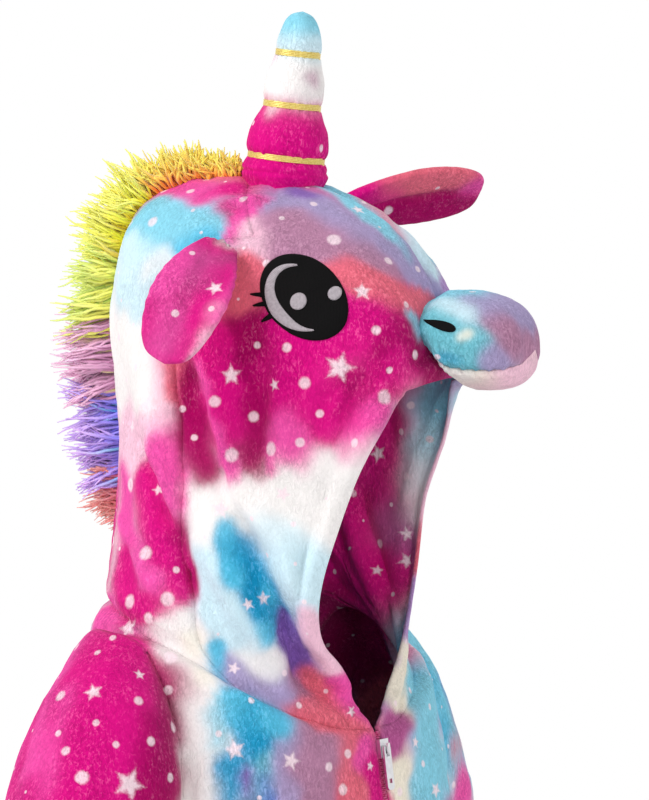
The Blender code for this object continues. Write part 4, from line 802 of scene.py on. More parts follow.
def flannel_fleece():
    """Printed flannel fleece: brushed polyester with a dense nap of 2 mm. The brushing lays
    the pile in short tufts; painted shade darkens the colour between them and a painted
    highlight pales it at their tips."""
    made, tree, shader = new_material(
        "printed_flannel_fleece", Roughness=0.95, Sheen_Weight=0.05, Sheen_Roughness=0.5,
        Sheen_Tint=(1.0, 0.93, 0.97, 1.0), Specular_IOR_Level=0.04)
    # the print attribute holds the dyes, among them the strokes of painted shade and highlight
    dyed = add_node(tree, "Attribute", attribute_name="print").outputs["Color"]
    place = object_place(tree)
    printed = blend(tree, printed_marks(tree, place), dyed, paint("#fae4ec"))
    # tufts 1 mm wide that lean a little down the nap, and flatter clumps of 8 mm; the
    # brushing raises them more in some patches than in others
    lying = add_node(tree, "Mapping", {"Vector": place, "Scale": (1.0, 1.0, 0.5)}).outputs["Vector"]
    tufts = noise(tree, lying, 0.0016, 3.0, Roughness=0.6, Distortion=0.9)
    clumps = noise(tree, lying, 0.008, 2.0, Roughness=0.5)
    amount = spread(tree, noise(tree, place, 0.034, 1.0), 0.40, 0.60, 0.5, 1.05)
    fine = math_node(tree, "MULTIPLY", math_node(tree, "SUBTRACT", tufts, 0.5), amount)
    flat = math_node(tree, "MULTIPLY", math_node(tree, "SUBTRACT", clumps, 0.5), 0.14)
    shade = math_node(tree, "ADD", math_node(tree, "MULTIPLY_ADD", fine, 0.8, 0.5), flat)
    # painted shade and light: the tufts' relief also darkens the colour between them and lightens it on them
    light = spread(tree, shade, 0.38, 0.62, 0.74, 1.16)
    # on a pale dye the shadow between the tufts hardly shows
    dye = add_node(tree, "SeparateColor", {"Color": dyed}, mode="HSV")
    depth = spread(tree, dye.outputs[1], 0.06, 0.6, 0.3, 1.0)
    seen = math_node(tree, "MULTIPLY_ADD", math_node(tree, "SUBTRACT", light, 1.0), depth, 1.0)
    grey = add_node(tree, "CombineColor", {0: seen, 1: seen, 2: seen}).outputs[0]
    colour = blend(tree, 1.0, printed, grey, blend_type="MULTIPLY")
    # painted highlight: the highest tufts are paled toward pinkish white
    tips = blend(tree, spread(tree, shade, 0.53, 0.66, 0.0, 0.09), colour, paint("#fde6f1"))
    finish_material(tree, shader, tips, shade, 0.8, 0.0018)
    return made


def stitched_thread(name, colour, gloss, depth):
    """Satin-stitched embroidery: polyester thread 0.8 mm apart, laid side by side. The threads
    show as fine ridges across the shape, with a soft gleam; painted highlight lightens the
    colour on each ridge and painted shade darkens it between them."""
    made, tree, shader = new_material(name, Roughness=gloss, Specular_IOR_Level=0.14)
    stitch = add_node(tree, "Attribute", attribute_name="stitch")
    turn = math_node(tree, "MULTIPLY", parts(tree, stitch.outputs["Vector"])["X"], 2 * math.pi / 0.8)
    wave = math_node(tree, "SINE", turn)
    ridge = math_node(tree, "MULTIPLY_ADD", wave, 0.22, noise(tree, object_place(tree), 0.0016, 3.0))
    share = spread(tree, ridge, 0.2, 0.8, 0.0, 1.0)
    # painted highlight on each thread ridge and painted shade between them
    tone = blend(tree, share, paint(colour, 1 - depth), paint(colour, 1 + depth))
    finish_material(tree, shader, tone, ridge, 0.5, 0.0004)
    return made


def metallic_thread():
    """Gold metallic thread: film wound round a core. Its glints are painted into the colour in small steps of
    darker and paler gold.
    """
    made, tree, shader = new_material("gold_metallic_thread", Roughness=0.4, Metallic=0.55)
    twist = noise(tree, object_place(tree), 0.0009, 1.0)
    # painted glints: the colour mottles between darker and paler gold
    tone = blend(tree, twist, paint("#f2cf4a", 0.7), paint("#fff0a0"))
    finish_material(tree, shader, tone, twist, 0.6, 0.0003)
    return made


def acrylic_yarn(name):
    """Brushed acrylic yarn: matt twisted strands with stray fibres, dyed from root to tip."""
    made, tree, shader = new_material(name, Roughness=0.8, Sheen_Weight=0.25, Sheen_Roughness=0.5,
                                      Specular_IOR_Level=0.1)
    strand = add_node(tree, "Attribute", attribute_name="strand").outputs["Color"]
    finish_material(tree, shader, strand, noise(tree, object_place(tree), 0.0013, 2.0), 0.6, 0.0006)
    return made


def zinc_alloy():
    """Die-cast zinc alloy, nickel plated and tumbled: bright, with faint cloudy wear."""
    made, tree, shader = new_material("nickel_plated_zinc", Metallic=1.0, Roughness=0.3)
    wear = noise(tree, object_place(tree), 0.003, 3.0)
    tree.links.new(spread(tree, wear, 0.0, 1.0, 0.22, 0.42), shader.inputs["Roughness"])
    finish_material(tree, shader, blend(tree, wear, paint("#c9c8cc"), paint("#efeef0")))
    return made


def nylon_tape():
    """Woven nylon zip tape and its coil: close ribs 0.6 mm apart, a little glossy, with painted highlight on
    the ribs and painted shade between them.
    """
    made, tree, shader = new_material("woven_nylon_tape", Roughness=0.6, Sheen_Weight=0.1)
    ribs = add_node(tree, "TexWave", {"Vector": object_place(tree), "Scale": math.pi / 20 / 0.0006},
                    bands_direction="Z").outputs["Fac"]
    # painted highlight on the ribs and painted shade between them
    finish_material(tree, shader, blend(tree, ribs, paint("#a8205e"), paint("#dc5490")), ribs, 0.5, 0.0002)
    return made


# ------------------------------------------------------------------ making pieces
def single_corners(faces):
    """Faces with no corner twice, and none with fewer than three corners."""
    faces = [[i for k, i in enumerate(ids) if i != ids[k - 1]] for ids in np.asarray(faces).tolist()]
    return [ids for ids in faces if len(ids) > 2]


def make_piece(name, points, faces, material, body="onesie", stands_for=(), slot=None, **attributes):
    """A smooth piece that rides on a body. Faces may repeat a corner, which makes a triangle."""
    mesh = bpy.data.meshes.new(name)
    mesh.from_pydata((np.asarray(points) * MM).tolist(), [], single_corners(faces))
    mesh.shade_smooth()
    mesh.materials.append(material)
    for key, values in attributes.items():
        values = np.asarray(values, np.float32)
        colour = values.shape[1] == 4
        made = mesh.attributes.new(key, "FLOAT_COLOR" if colour else "FLOAT_VECTOR",
                                   "POINT" if len(values) == len(mesh.vertices) else "CORNER")
        made.data.foreach_set("color" if colour else "vector", values.reshape(-1))
    piece = bpy.data.objects.new(name, mesh)
    bpy.context.scene.collection.objects.link(piece)
    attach(piece, body)
    if stands_for:
        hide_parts(*stands_for)
    return piece


def tube_faces(rings, sides, closed=False):
    """Faces that join rings of points, each ring after the last."""
    r, i = np.meshgrid(np.arange(rings if closed else rings - 1), np.arange(sides), indexing="ij")
    j, s = (i + 1) % sides, (r + 1) % rings
    return np.stack([r * sides + i, r * sides + j, s * sides + j, s * sides + i], axis=-1).reshape(-1, 4)


def cap_faces(first, sides, middle):
    """Faces from a ring to its middle point."""
    i = np.arange(sides)
    return np.stack([first + i, first + (i + 1) % sides, np.full(sides, middle), np.full(sides, middle)], -1)


def closed_rings(points):
    """Rings of points with a middle point at each end, and the faces of the closed form."""
    rings, sides = points.shape[:2]
    flat = np.vstack([points.reshape(-1, 3), points[0].mean(axis=0), points[-1].mean(axis=0)])
    return flat, np.vstack([tube_faces(rings, sides), cap_faces(0, sides, len(flat) - 2)[:, [1, 0, 2, 3]],
                            cap_faces((rings - 1) * sides, sides, len(flat) - 1)])


class Ground:
    """Faces of pieces already made, for others to be seated on."""

    def __init__(self, points, faces):
        """Keeps the faces in a tree for rays."""
        self.tree = BVHTree.FromPolygons(np.asarray(points).tolist(), single_corners(faces))

    def under(self, p, direction, far=60.0):
        """Where a ray from well before p first meets the surface, and the way out there."""
        direction = Vector(unit(direction))
        hit, normal, _, _ = self.tree.ray_cast(Vector(p) - direction * far, direction)
        if hit is None:
            hit, normal, _, _ = self.tree.find_nearest(Vector(p))
        return np.array(hit), np.array(-normal if normal.dot(direction) > 0 else normal)


# ------------------------------------------------------------------ the print
DYES = {
    "turquoise": "#52bcdf", "sea": "#86cfe4", "ice": "#cde8f2", "white": "#f2eeec", "cream": "#f2ead8",
    "lilac": "#b48fc9", "violet": "#8660b4", "blue": "#5c6cc4", "mauve": "#b2558f", "magenta": "#d80a80",
    "deep": "#a4025a", "pink": "#ec50a6", "blush": "#f2c2d6", "coral": "#e66a7e", "teal": "#0a97c6",
    "dusk": "#b4809f", "haze": "#a698c2", "reef": "#6ebdcc",
}
# the cycle of dye bands where no stroke lies
BANDS = ("turquoise", "sea", "ice", "white", "blush", "pink", "magenta", "magenta", "magenta", "coral",
         "blush", "lilac", "haze", "sea")
BAND_RUN = 400.0        # millimetres up the cloth for one whole cycle
BAND_DRIFT = 34.0       # how far the bands wander
BAND_BASE = 0.004       # their weight beside a stroke's
STUFFED_BASE, STUFFED_DRIFT = 0.0005, 0.6       # on the stuffed pieces: that weight, and how far strokes wander
STROKE_DRIFT = 2.6      # how far a stroke's edge wanders on the large pieces
STROKE_CORE = 1.05      # how fast a stroke ends
SKIRT, SKIRT_CORE = 0.01, 0.22      # a faint wider stroke round each, and how fast that ends
# strokes on the outside: dye, from, to, half width; the places are left, back and up of the origin. Most are
# the print's own dyes; some deep strokes in the folds' valleys are painted shade, and some pink strokes along
# ridges are painted highlight
STROKES = (
    ("sea", (18, -45, 282), (10, -85, 264), 5), ("sea", (10, -91, 258), (20, -103, 244), 4),
    ("dusk", (-37, -56, 265), (-27, -80, 257), 9), ("dusk", (-47, -56, 254), (-33, -85, 249), 7),
    ("haze", (-26, -43, 276), (-17, -62, 274), 8), ("haze", (-15, -70, 269), (-15, -87, 259), 8),
    ("violet", (-15, -41, 281), (-13, -51, 279), 4), ("haze", (-8, -92, 256), (22, -108, 235), 8),
    ("haze", (26, -109, 233), (46, -110, 218), 6), ("dusk", (-24, -92, 250), (-9, -105, 242), 7),
    ("blush", (-48, -38, 259), (-53, -50, 252), 6), ("pink", (-40, -18, 274), (-33, -27, 279), 3.5),
    ("coral", (-59, -47, 241), (-66, -52, 217), 5), ("coral", (-36, -92, 240), (-14, -119, 222), 7),
    ("coral", (-11, -120, 220), (20, -117, 216), 5), ("sea", (-9, -125, 210), (-2, -126, 201), 3.2),
    ("haze", (15, -101, 248), (42, -110, 218), 6), ("magenta", (-65, -77, 190), (-29, -121, 208), 12),
    ("magenta", (-68, -72, 171), (-47, -106, 161), 12), ("magenta", (-33, -118, 180), (-25, -126, 189), 9),
    ("magenta", (-77, -35, 192), (-77, -48, 149), 9), ("magenta", (-51, -99, 158), (-54, -95, 143), 6),
    ("deep", (-67, -53, 206), (-70, -59, 126), 7), ("deep", (-21, -126, 205), (3, -127, 185), 9),
    ("deep", (-78, -12, 178), (-78, -20, 151), 5), ("deep", (-79, -18, 151), (-83, -33, 119), 6),
    ("deep", (-30, -124, 199), (-34, -122, 192), 6), ("deep", (-45, -110, 176), (-50, -104, 159), 4),
    ("pink", (-67, -78, 150), (-62, -85, 131), 7), ("pink", (-37, -118, 158), (-45, -106, 134), 6),
    ("pink", (-83, -46, 130), (-82, -48, 126), 5), ("pink", (-80, -23, 182), (-85, -44, 141), 3),
    ("pink", (-85, -44, 141), (-80, -50, 118), 4), ("pink", (-67, -66, 146), (-70, -71, 128), 4),
    ("white", (-85, -34, 106), (-64, -80, 112), 9), ("white", (-64, -80, 115), (-45, -114, 128), 9),
    ("white", (-76, -66, 101), (-47, -105, 100), 13), ("ice", (-76, -69, 91), (-64, -87, 81), 8),
    ("ice", (-71, -84, 73), (-56, -94, 55), 10), ("teal", (-78, -53, 80), (-69, -65, 42), 7),
    ("turquoise", (-81, -47, 90), (-82, -55, 61), 5), ("turquoise", (-59, -61, 54), (-71, -66, 26), 5),
    ("white", (-86, -34, 99), (-90, -37, 83), 5), ("ice", (-90, -37, 77), (-86, -38, 48), 5),
    ("ice", (-84, -45, 45), (-81, -50, 31), 6), ("ice", (-81, -57, 40), (-74, -58, 22), 5),
    ("white", (-73, -57, 17), (-65, -65, 8), 6), ("violet", (-54, -64, 37), (-41, -66, 13), 6),
    ("haze", (-81, -51, 7), (-56, -74, -5), 7), ("dusk", (-53, -71, 1), (-44, -74, -8), 5),
    ("blush", (-62, -91, 41), (-36, -87, 8), 5), ("pink", (-24, -85, -7), (-10, -88, -20), 6),
    ("coral", (-38, -69, 6), (-24, -85, -21), 3.6), ("coral", (-50, -79, -14), (-19, -90, -29), 7),
    ("pink", (-27, 36, 283), (-39, 1, 279), 6), ("magenta", (-39, 3, 279), (-30, -10, 282), 4.5),
    ("magenta", (-44, -14, 273), (-46, -23, 269), 4.5), ("sea", (-50, 41, 267), (-54, -8, 266), 10),
    ("sea", (-59, 29, 258), (-58, -1, 262), 9), ("turquoise", (-64, 0, 251), (-61, -15, 254), 7),
    ("ice", (-59, 45, 250), (-70, 8, 237), 8), ("ice", (-65, 44, 224), (-75, 25, 216), 8),
    ("white", (-71, 41, 200), (-63, 50, 158), 8), ("white", (-87, 9, 180), (-91, 2, 159), 7),
    ("white", (-70, 20, 238), (-67, 7, 241), 5), ("blush", (-68, 43, 140), (-92, 7, 146), 7),
    ("blush", (-85, 1, 187), (-91, -5, 151), 5), ("coral", (-83, -5, 185), (-83, -10, 164), 4.5),
    ("pink", (-93, -6, 139), (-91, -18, 105), 6), ("pink", (-78, 32, 116), (-82, 27, 93), 5),
    ("pink", (-82, 30, 90), (-101, -6, 56), 4), ("magenta", (-89, 9, 116), (-93, -12, 75), 8),
    ("magenta", (-95, -21, 54), (-83, -21, 69), 6), ("magenta", (-88, 20, 66), (-95, 18, 46), 8),
    ("magenta", (-98, 4, 43), (-99, -13, 44), 5), ("deep", (-86, -17, 85), (-85, -23, 61), 5),
    ("white", (-97, -19, 33), (-101, -40, -2), 9), ("white", (-102, -43, -13), (-107, -51, -64), 9),
    ("cream", (-95, -29, 25), (-100, -41, 6), 5), ("turquoise", (-87, -41, 21), (-87, -47, 5), 4),
    ("turquoise", (-93, -60, -7), (-75, -81, -26), 8), ("teal", (-86, -69, -16), (-87, -77, -38), 6),
    ("teal", (-99, -61, -44), (-101, -60, -62), 6), ("sea", (-97, -52, -7), (-101, -52, -30), 5),
    ("dusk", (-64, -87, -32), (-42, -96, -42), 9), ("haze", (-80, -82, -43), (-76, -88, -61), 6),
    ("reef", (-86, -78, -44), (-90, -78, -62), 5), ("blue", (-86, -79, -50), (-87, -81, -64), 3.4),
    ("violet", (-92, -74, -50), (-90, -77, -61), 4), ("dusk", (-71, -89, -52), (-58, -95, -60), 8),
    ("haze", (-77, -82, -34), (-69, -85, -33), 6), ("coral", (-33, -96, -40), (-31, -100, -66), 7),
    ("pink", (-15, -97, -40), (-22, -98, -49), 4), ("magenta", (-12, -99, -55), (-4, -100, -71), 6),
    ("mauve", (6, -96, -42), (20, -92, -30), 5), ("cream", (56, -72, 7), (30, -87, -19), 6),
    ("cream", (12, -100, -57), (12, -101, -73), 6), ("mauve", (30, -88, -28), (14, -97, -39), 4),
    ("sea", (137, -18, 4), (145, -23, -10), 7), ("sea", (65, -79, -17), (39, -102, -75), 9),
    ("sea", (141, -36, -36), (65, -94, -64), 6), ("blue", (150, -29, -25), (162, -27, -40), 5),
    ("mauve", (164, -28, -49), (167, -28, -53), 5), ("coral", (173, -28, -65), (154, -37, -65), 6),
    ("pink", (165, -36, -86), (164, -37, -100), 7), ("magenta", (-136, 2, 15), (-183, -9, -52), 17),
    # the near sleeve: deep strokes on its front are partly painted shade, and pink strokes along its back edge
    # partly painted highlight
    ("magenta", (-128, -11, 16), (-166, -32, -52), 17), ("deep", (-106, -27, 3), (-132, -44, -58), 10),
    ("deep", (-134, -34, -16), (-149, -40, -56), 7), ("pink", (-88, 42, 32), (-177, 12, -38), 8),
    ("pink", (-153, 9, -1), (-186, 0, -53), 6), ("white", (-78, 28, 196), (-83, 20, 160), 9),
    ("pink", (-138, 46, 0), (-188, 44, -84), 10), ("magenta", (-150, 40, -14), (-182, 34, -62), 8),
    ("dusk", (-44, -60, 256), (-20, -90, 254), 9), ("pink", (-54, -29, 260), (-31, -31, 277), 4.5),
    ("blush", (-80, 30, 148), (-84, 26, 126), 8), ("white", (-50, 72, 204), (-46, 78, 150), 12),
    ("ice", (-44, 72, 244), (-46, 74, 216), 10), ("blush", (-58, 64, 142), (-56, 66, 122), 9),
    ("magenta", (-58, 66, 100), (-62, 66, 60), 11), ("pink", (-40, 84, 112), (-44, 86, 70), 8),
)
LINING_STROKES = (
    ("deep", (153, 27, -5), (163, 34, -22), 11), ("deep", (97, 1, 28), (145, 42, -11), 13),
    ("magenta", (95, -34, 49), (156, 19, -4), 12), ("magenta", (97, 13, 52), (90, 0, 78), 14),
    ("magenta", (90, -21, 49), (99, -10, 22), 12), ("coral", (173, 29, -33), (174, 39, -48), 8),
    ("sea", (94, -80, 164), (103, -64, 136), 12), ("ice", (101, -58, 127), (102, -53, 111), 12),
    ("white", (101, -53, 105), (101, -50, 89), 12), ("mauve", (101, -44, 65), (99, -36, 83), 12),
    ("magenta", (99, -25, 104), (99, -20, 128), 18),
)
STARS = (
    (-50, -105, 184, 8.3), (-32, -107, 226, 5.4), (-75, -46, 178, 6), (-91, 4, 158, 7.1),
    (-155, -37, -51, 8.9), (-151, -5, 0, 5.4), (-98, 14, 29, 6.5), (-124, -20, 7, 3.6), (-11, -98, -51, 3),
    (-95, -66, -36, 6), (-72, -86, -43, 5.4), (-67, -62, 49, 4.2), (-78, -60, 46, 3.6), (48, -101, -73, 4.8),
    (-68, -72, 171, 3.6), (35, -96, -43, 3.6),
)
DOTS = (
    (-34, -119, 203, 2.4), (-9, -128, 189, 2.4), (-29, -124, 181, 1.8), (-29, -121, 165, 3.6),
    (-60, -86, 174, 3), (-55, -93, 157, 2.1), (-64, -77, 193, 2.4), (-82, -40, 162, 3), (-67, -57, 154, 2.7),
    (-67, -56, 196, 1.8), (-69, -71, 134, 3.6), (-80, -49, 132, 3.6), (-61, -85, 141, 2.4),
    (-28, -82, 255, 3.6), (-5, -105, 243, 2.4), (22, -107, 236, 1.8), (-10, -121, 218, 1.8),
    (-55, 28, 264, 3), (-73, 9, 232, 3), (-83, 23, 110, 3.6), (-81, -14, 157, 1.8), (-81, -23, 143, 1.8),
    (-96, 1, 74, 3.6), (-96, 13, 45, 3.6), (-98, -15, 48, 3.6), (-99, -3, 36, 3), (-104, -23, 16, 3.6),
    (-157, 13, -5, 3), (-173, -19, -42, 3.6), (-114, -33, -20, 3), (-137, -38, -25, 2.4),
    (-138, -26, -5, 2.4), (-175, -5, -34, 2.4), (-127, -43, -48, 2.4), (-31, -97, -43, 2.4),
    (69, -65, 18, 1.8), (60, -70, 13, 1.8), (-91, -21, 64, 1.8), (-108, -24, -3, 2.4), (-130, 7, 20, 1.8),
    (-100, -54, -27, 1.8), (-47, -96, -48, 2.4), (-37, -98, -62, 3), (-123, 5, 25, 1.8), (-168, 4, -21, 1.8),
    (-154, -29, -28, 1.8), (-157, -16, -15, 1.8), (-57, -70, 4, 1.8), (-52, -78, -13, 1.8),
    (65, -84, -26, 1.8), (55, -77, -16, 1.8), (37, -99, -57, 1.8), (-35, -21, 277, 2.4),
)
STAR_SIZES = (3.2, 5.4)
DOT_LEAST, DOT_MORE = 0.8, 1.7
STAR_APART = 17.0       # least distance between two printed marks
PLACED_APART = 26.0     # and from those listed
STAR_TRIES = 9000
STAR_SHARE = 0.16       # of the marks are stars, and the rest dots


def print_and_painted_light(p, strokes, base=BAND_BASE, drift=1.0):
    """The colour at points: soft strokes of the print's dyes, some of them painted shade and painted highlight,
    over bands that drift round the body.
    """
    dyes = {name: np.array(linear(value)) for name, value in DYES.items()}
    warp = np.stack([soft_noise(p, 130.0, seed, 3) for seed in (21, 22, 23)], axis=-1) * BAND_DRIFT
    far = p + warp
    run = (far[:, 2] * 0.85 + far[:, 0] * 0.5 + far[:, 1] * 0.4) / BAND_RUN
    run = run + 0.3 * soft_noise(far, 260.0, 31, 2)
    at = (run % 1.0) * len(BANDS)
    table = np.array([dyes[name] for name in BANDS + BANDS[:1]])
    i = np.clip(at.astype(int), 0, len(BANDS) - 1)
    f = fade(at - i, 0.0, 1.0)[:, None]
    total = (table[i] * (1 - f) + table[i + 1] * f) * base
    weight = np.full((len(p), 1), base)
    q = p + np.stack([soft_noise(p, 20.0, seed, 2) for seed in (24, 25, 26)], axis=-1) * STROKE_DRIFT * drift
    for dye, start, end, wide in strokes:
        start, run = np.array(start, float), np.array(end, float) - np.array(start, float)
        along = np.clip((q - start) @ run / max(run @ run, 1e-6), 0.0, 1.0)
        away = np.linalg.norm(q - start - along[:, None] * run, axis=-1) / wide
        share = (np.exp(-STROKE_CORE * away**2) + SKIRT * np.exp(-SKIRT_CORE * away**2))[:, None]
        total += dyes[dye] * share
        weight += share
    return np.hstack([total / weight, np.ones((len(p), 1))])


OTHER_DYE = {"magenta": "sea", "deep": "turquoise", "pink": "ice", "white": "blush", "ice": "coral",
             "teal": "magenta", "turquoise": "magenta", "violet": "pink", "lilac": "white", "blush": "lilac",
             "coral": "lilac", "mauve": "turquoise", "cream": "white", "sea": "mauve", "blue": "coral",
             "dusk": "sea", "haze": "ice"}


def other_side():
    """The strokes of the wearer's right repeated on the left, in other dyes of the cycle."""
    strokes = []
    for dye, start, end, wide in STROKES:
        places = [np.array(start, float), np.array(end, float)]
        if min(head_place(p)[1] if p[2] > 20 else p[0] for p in places) > -30:
            continue
        if max(p[2] for p in places) < 20 and max(p[0] for p in places) > -100:
            continue
        turned_over = []
        for p in places:
            forward, left = head_place(p)
            turned_over.append(turned(forward, -left, p[2] + 6.0) if p[2] > 20 else p * (-1, 1, 1))
        strokes.append((OTHER_DYE[dye], *turned_over, wide * 1.1))
    return strokes


def star_corners(points, quads, normals, marks, scattered, seed, room=None):
    """Corner coordinates of the mark that lies on each face: across, along, and its kind,
    1 for a star and 2 for a dot. Scattered marks keep their distance from those given."""
    centre = points[quads].mean(axis=1)
    normal = unit(normals[quads].sum(axis=1))
    tree = tree_of(centre)
    rng = random.Random(seed)
    placed = [(tree.find(p)[1], size, kind) for p, size, kind in marks]
    by_hand = tree_of([centre[face] for face, _, _ in placed])
    cells = {}

    def cell_of(p):
        """The cube of space that a place is in."""
        return tuple((p // STAR_APART).astype(int))

    def near(p):
        """Whether a mark is already too near."""
        x, y, z = cell_of(p)
        return any(np.linalg.norm(p - q) < STAR_APART for dx in (-1, 0, 1) for dy in (-1, 0, 1)
                   for dz in (-1, 0, 1) for q in cells.get((x + dx, y + dy, z + dz), ()))

    for face, _, _ in placed:
        cells.setdefault(cell_of(centre[face]), []).append(centre[face])
    for _ in range(scattered):
        face = rng.randrange(len(centre))
        if by_hand.find(centre[face])[2] < PLACED_APART:
            continue
        if not near(centre[face]) and (room is None or room[face] > 5.0):
            star = rng.random() < STAR_SHARE
            size = rng.uniform(*STAR_SIZES) if star else DOT_LEAST + DOT_MORE * rng.random() ** 2
            placed.append((face, size, 1 if star else 2))
            cells.setdefault(cell_of(centre[face]), []).append(centre[face])
    star_map = np.zeros((len(quads), 4, 3))
    held = np.full(len(quads), np.inf)
    for face, size, kind in placed:
        n = normal[face]
        along = unit(np.cross(n, np.cross([0.0, 0.0, 1.0], n) + 1e-6))
        turn = rng.uniform(0, 2 * math.pi)
        u = np.cross(along, n) * math.cos(turn) + along * math.sin(turn)
        v = np.cross(n, u)
        for _, k, distance in tree.find_range(centre[face], size + 4.0):
            if distance < held[k] and normal[k] @ n > 0.2:
                held[k] = distance
                apart = points[quads[k]] - centre[face]
                star_map[k] = np.stack([apart @ u / size, apart @ v / size, np.full(4, kind)], axis=-1)
    return star_map


# ------------------------------------------------------------------ the cut pieces
# name, cut width and length in millimetres, share of it that the shape fills, how it is held,
# and its colour slot
CUTS = {
    "front_right": (212.0, 940.0, 0.80, "hung", "fleece_blue"),
    "front_left": (212.0, 940.0, 0.80, "hung", "fleece_white"),
    "back_right": (212.0, 960.0, 0.80, "hung", "fleece_lilac"),
    "back_left": (212.0, 960.0, 0.80, "hung", "fleece_lilac"),
    "sleeve_right": (310.0, 440.0, 0.78, "hung", "fleece_pink"),
    "sleeve_left": (310.0, 440.0, 0.78, "hung", "fleece_lilac"),
    "hood_face_right": (190.0, 330.0, 0.58, "draped", "fleece_pink"),
    "hood_face_left": (190.0, 330.0, 0.58, "draped", "fleece_pink"),
    "hood_back_right": (160.0, 290.0, 0.70, "draped", "fleece_blue"),
    "hood_back_left": (160.0, 290.0, 0.70, "draped", "fleece_blue"),
}


def add_cloth(cloth, fleece):
    """Every cut piece, printed on both faces."""
    outside = print_and_painted_light(cloth.points, list(STROKES) + other_side())
    lining = print_and_painted_light(cloth.points, LINING_STROKES)
    marks = ([((x, y, z), size, 1) for x, y, z, size in STARS]
             + [((x, y, z), size, 2) for x, y, z, size in DOTS])
    stars = star_corners(cloth.points, cloth.quads, cloth.normals, marks, STAR_TRIES, 5, cloth.edge_room)
    for name, (wide, long, share, held, slot) in CUTS.items():
        points, faces, source = cloth.cut(name)
        mine = np.flatnonzero(cloth.labels == cloth.names.index(name))
        count = len(cloth.used)
        colour = outside[source]
        inner = (np.arange(len(points)) >= count) & (np.arange(len(points)) < 2 * count)
        colour[inner] = lining[source[inner]]
        no_star = np.zeros((len(faces) - 2 * len(mine), 4, 3))
        on_face = np.concatenate([stars[mine], stars[mine][:, ::-1], no_star])
        corners = on_face[faces != np.roll(faces, 1, axis=1)]
        piece = make_piece(name + "_fleece", points, faces, fleece, stands_for=[name], slot=slot,
                           print=colour, star_map=corners)


def printed_piece(name, points, faces, fleece, strokes, marks, stands_for, slot):
    """A stuffed piece of the printed fleece, with its own strokes and marks."""
    stars = star_corners(points, faces, normals_of(points, faces), marks, 0, 7)
    corners = [star[c] for star, ids in zip(stars, faces.tolist()) for c in range(4) if ids[c] != ids[c - 1]]
    piece = make_piece(name, points, faces, fleece, stands_for=stands_for, slot=slot,
                       print=print_and_painted_light(points, strokes, STUFFED_BASE, STUFFED_DRIFT), star_map=corners)
    return piece


# ------------------------------------------------------------------ horn
HORN_BASE = (20.0, 0.0)             # forward, left
HORN_LEAN = 7.0                     # degrees, forward
HORN = np.array([
    # up     radius
    (-4.0,   23.0),
    (0.0,    23.8),
    (3.0,    25.0),
    (8.0,    26.0),
    (14.2,   22.6),
    (16.8,   22.4),
    (22.0,   24.2),
    (33.0,   22.4),
    (45.2,   16.8),
    (47.8,   16.6),
    (54.0,   18.0),
    (66.0,   16.4),
    (75.7,   12.9),
    (78.3,   12.8),
    (84.0,   13.2),
    (93.0,   10.6),
    (99.5,    6.5),
    (102.0,   0.3),
])
THREADS = {"horn_thread_low": (15.5, 22.4), "horn_thread_mid": (46.5, 16.6), "horn_thread_high": (77.0, 12.8)}
THREAD = 0.55                       # half thickness of one turn of the thread
THREAD_TURNS = 4
THREAD_RISE = 3.6                   # of the four turns together
HORN_SIDES, HORN_RINGS = 96, 120
HORN_DYES = (
    # dye       up     degrees round, or None for all  width
    ("magenta", 8.0,   None,   12.0),
    ("magenta", 24.0,  None,   10.0),
    ("magenta", 38.0,  None,    9.0),
    ("white",   44.0,  250.0,   5.0),
    ("white",   56.0,  None,    8.0),
    ("white",   68.0,  None,    8.0),
    ("mauve",   64.0,  330.0,   5.0),
    ("blush",   74.0,  200.0,   6.0),
    ("ice",     82.0,  None,    7.0),
    ("sea",     96.0,  None,    8.0),
)
HORN_MARKS = (
    # up     degrees round  size  kind: 1 star, 2 dot
    (24.0,   345.0,         2.0,  2),
    (33.0,   215.0,         1.4,  2),
    (27.0,    60.0,         4.0,  1),
    (12.0,   120.0,         1.8,  2),
    (58.0,   100.0,         3.4,  1),
)


def horn_place(foot, up, radius, angle):
    """A point on or round the leaning horn, from its foot on the hood."""
    lean = math.radians(HORN_LEAN)
    up, radius, angle = np.broadcast_arrays(up, radius, angle)
    forward = HORN_BASE[0] + radius * np.cos(angle) * math.cos(lean) + up * math.sin(lean)
    left = HORN_BASE[1] + radius * np.sin(angle)
    rise = up * math.cos(lean) - radius * np.cos(angle) * math.sin(lean)
    return turned(forward, left, rise + foot)


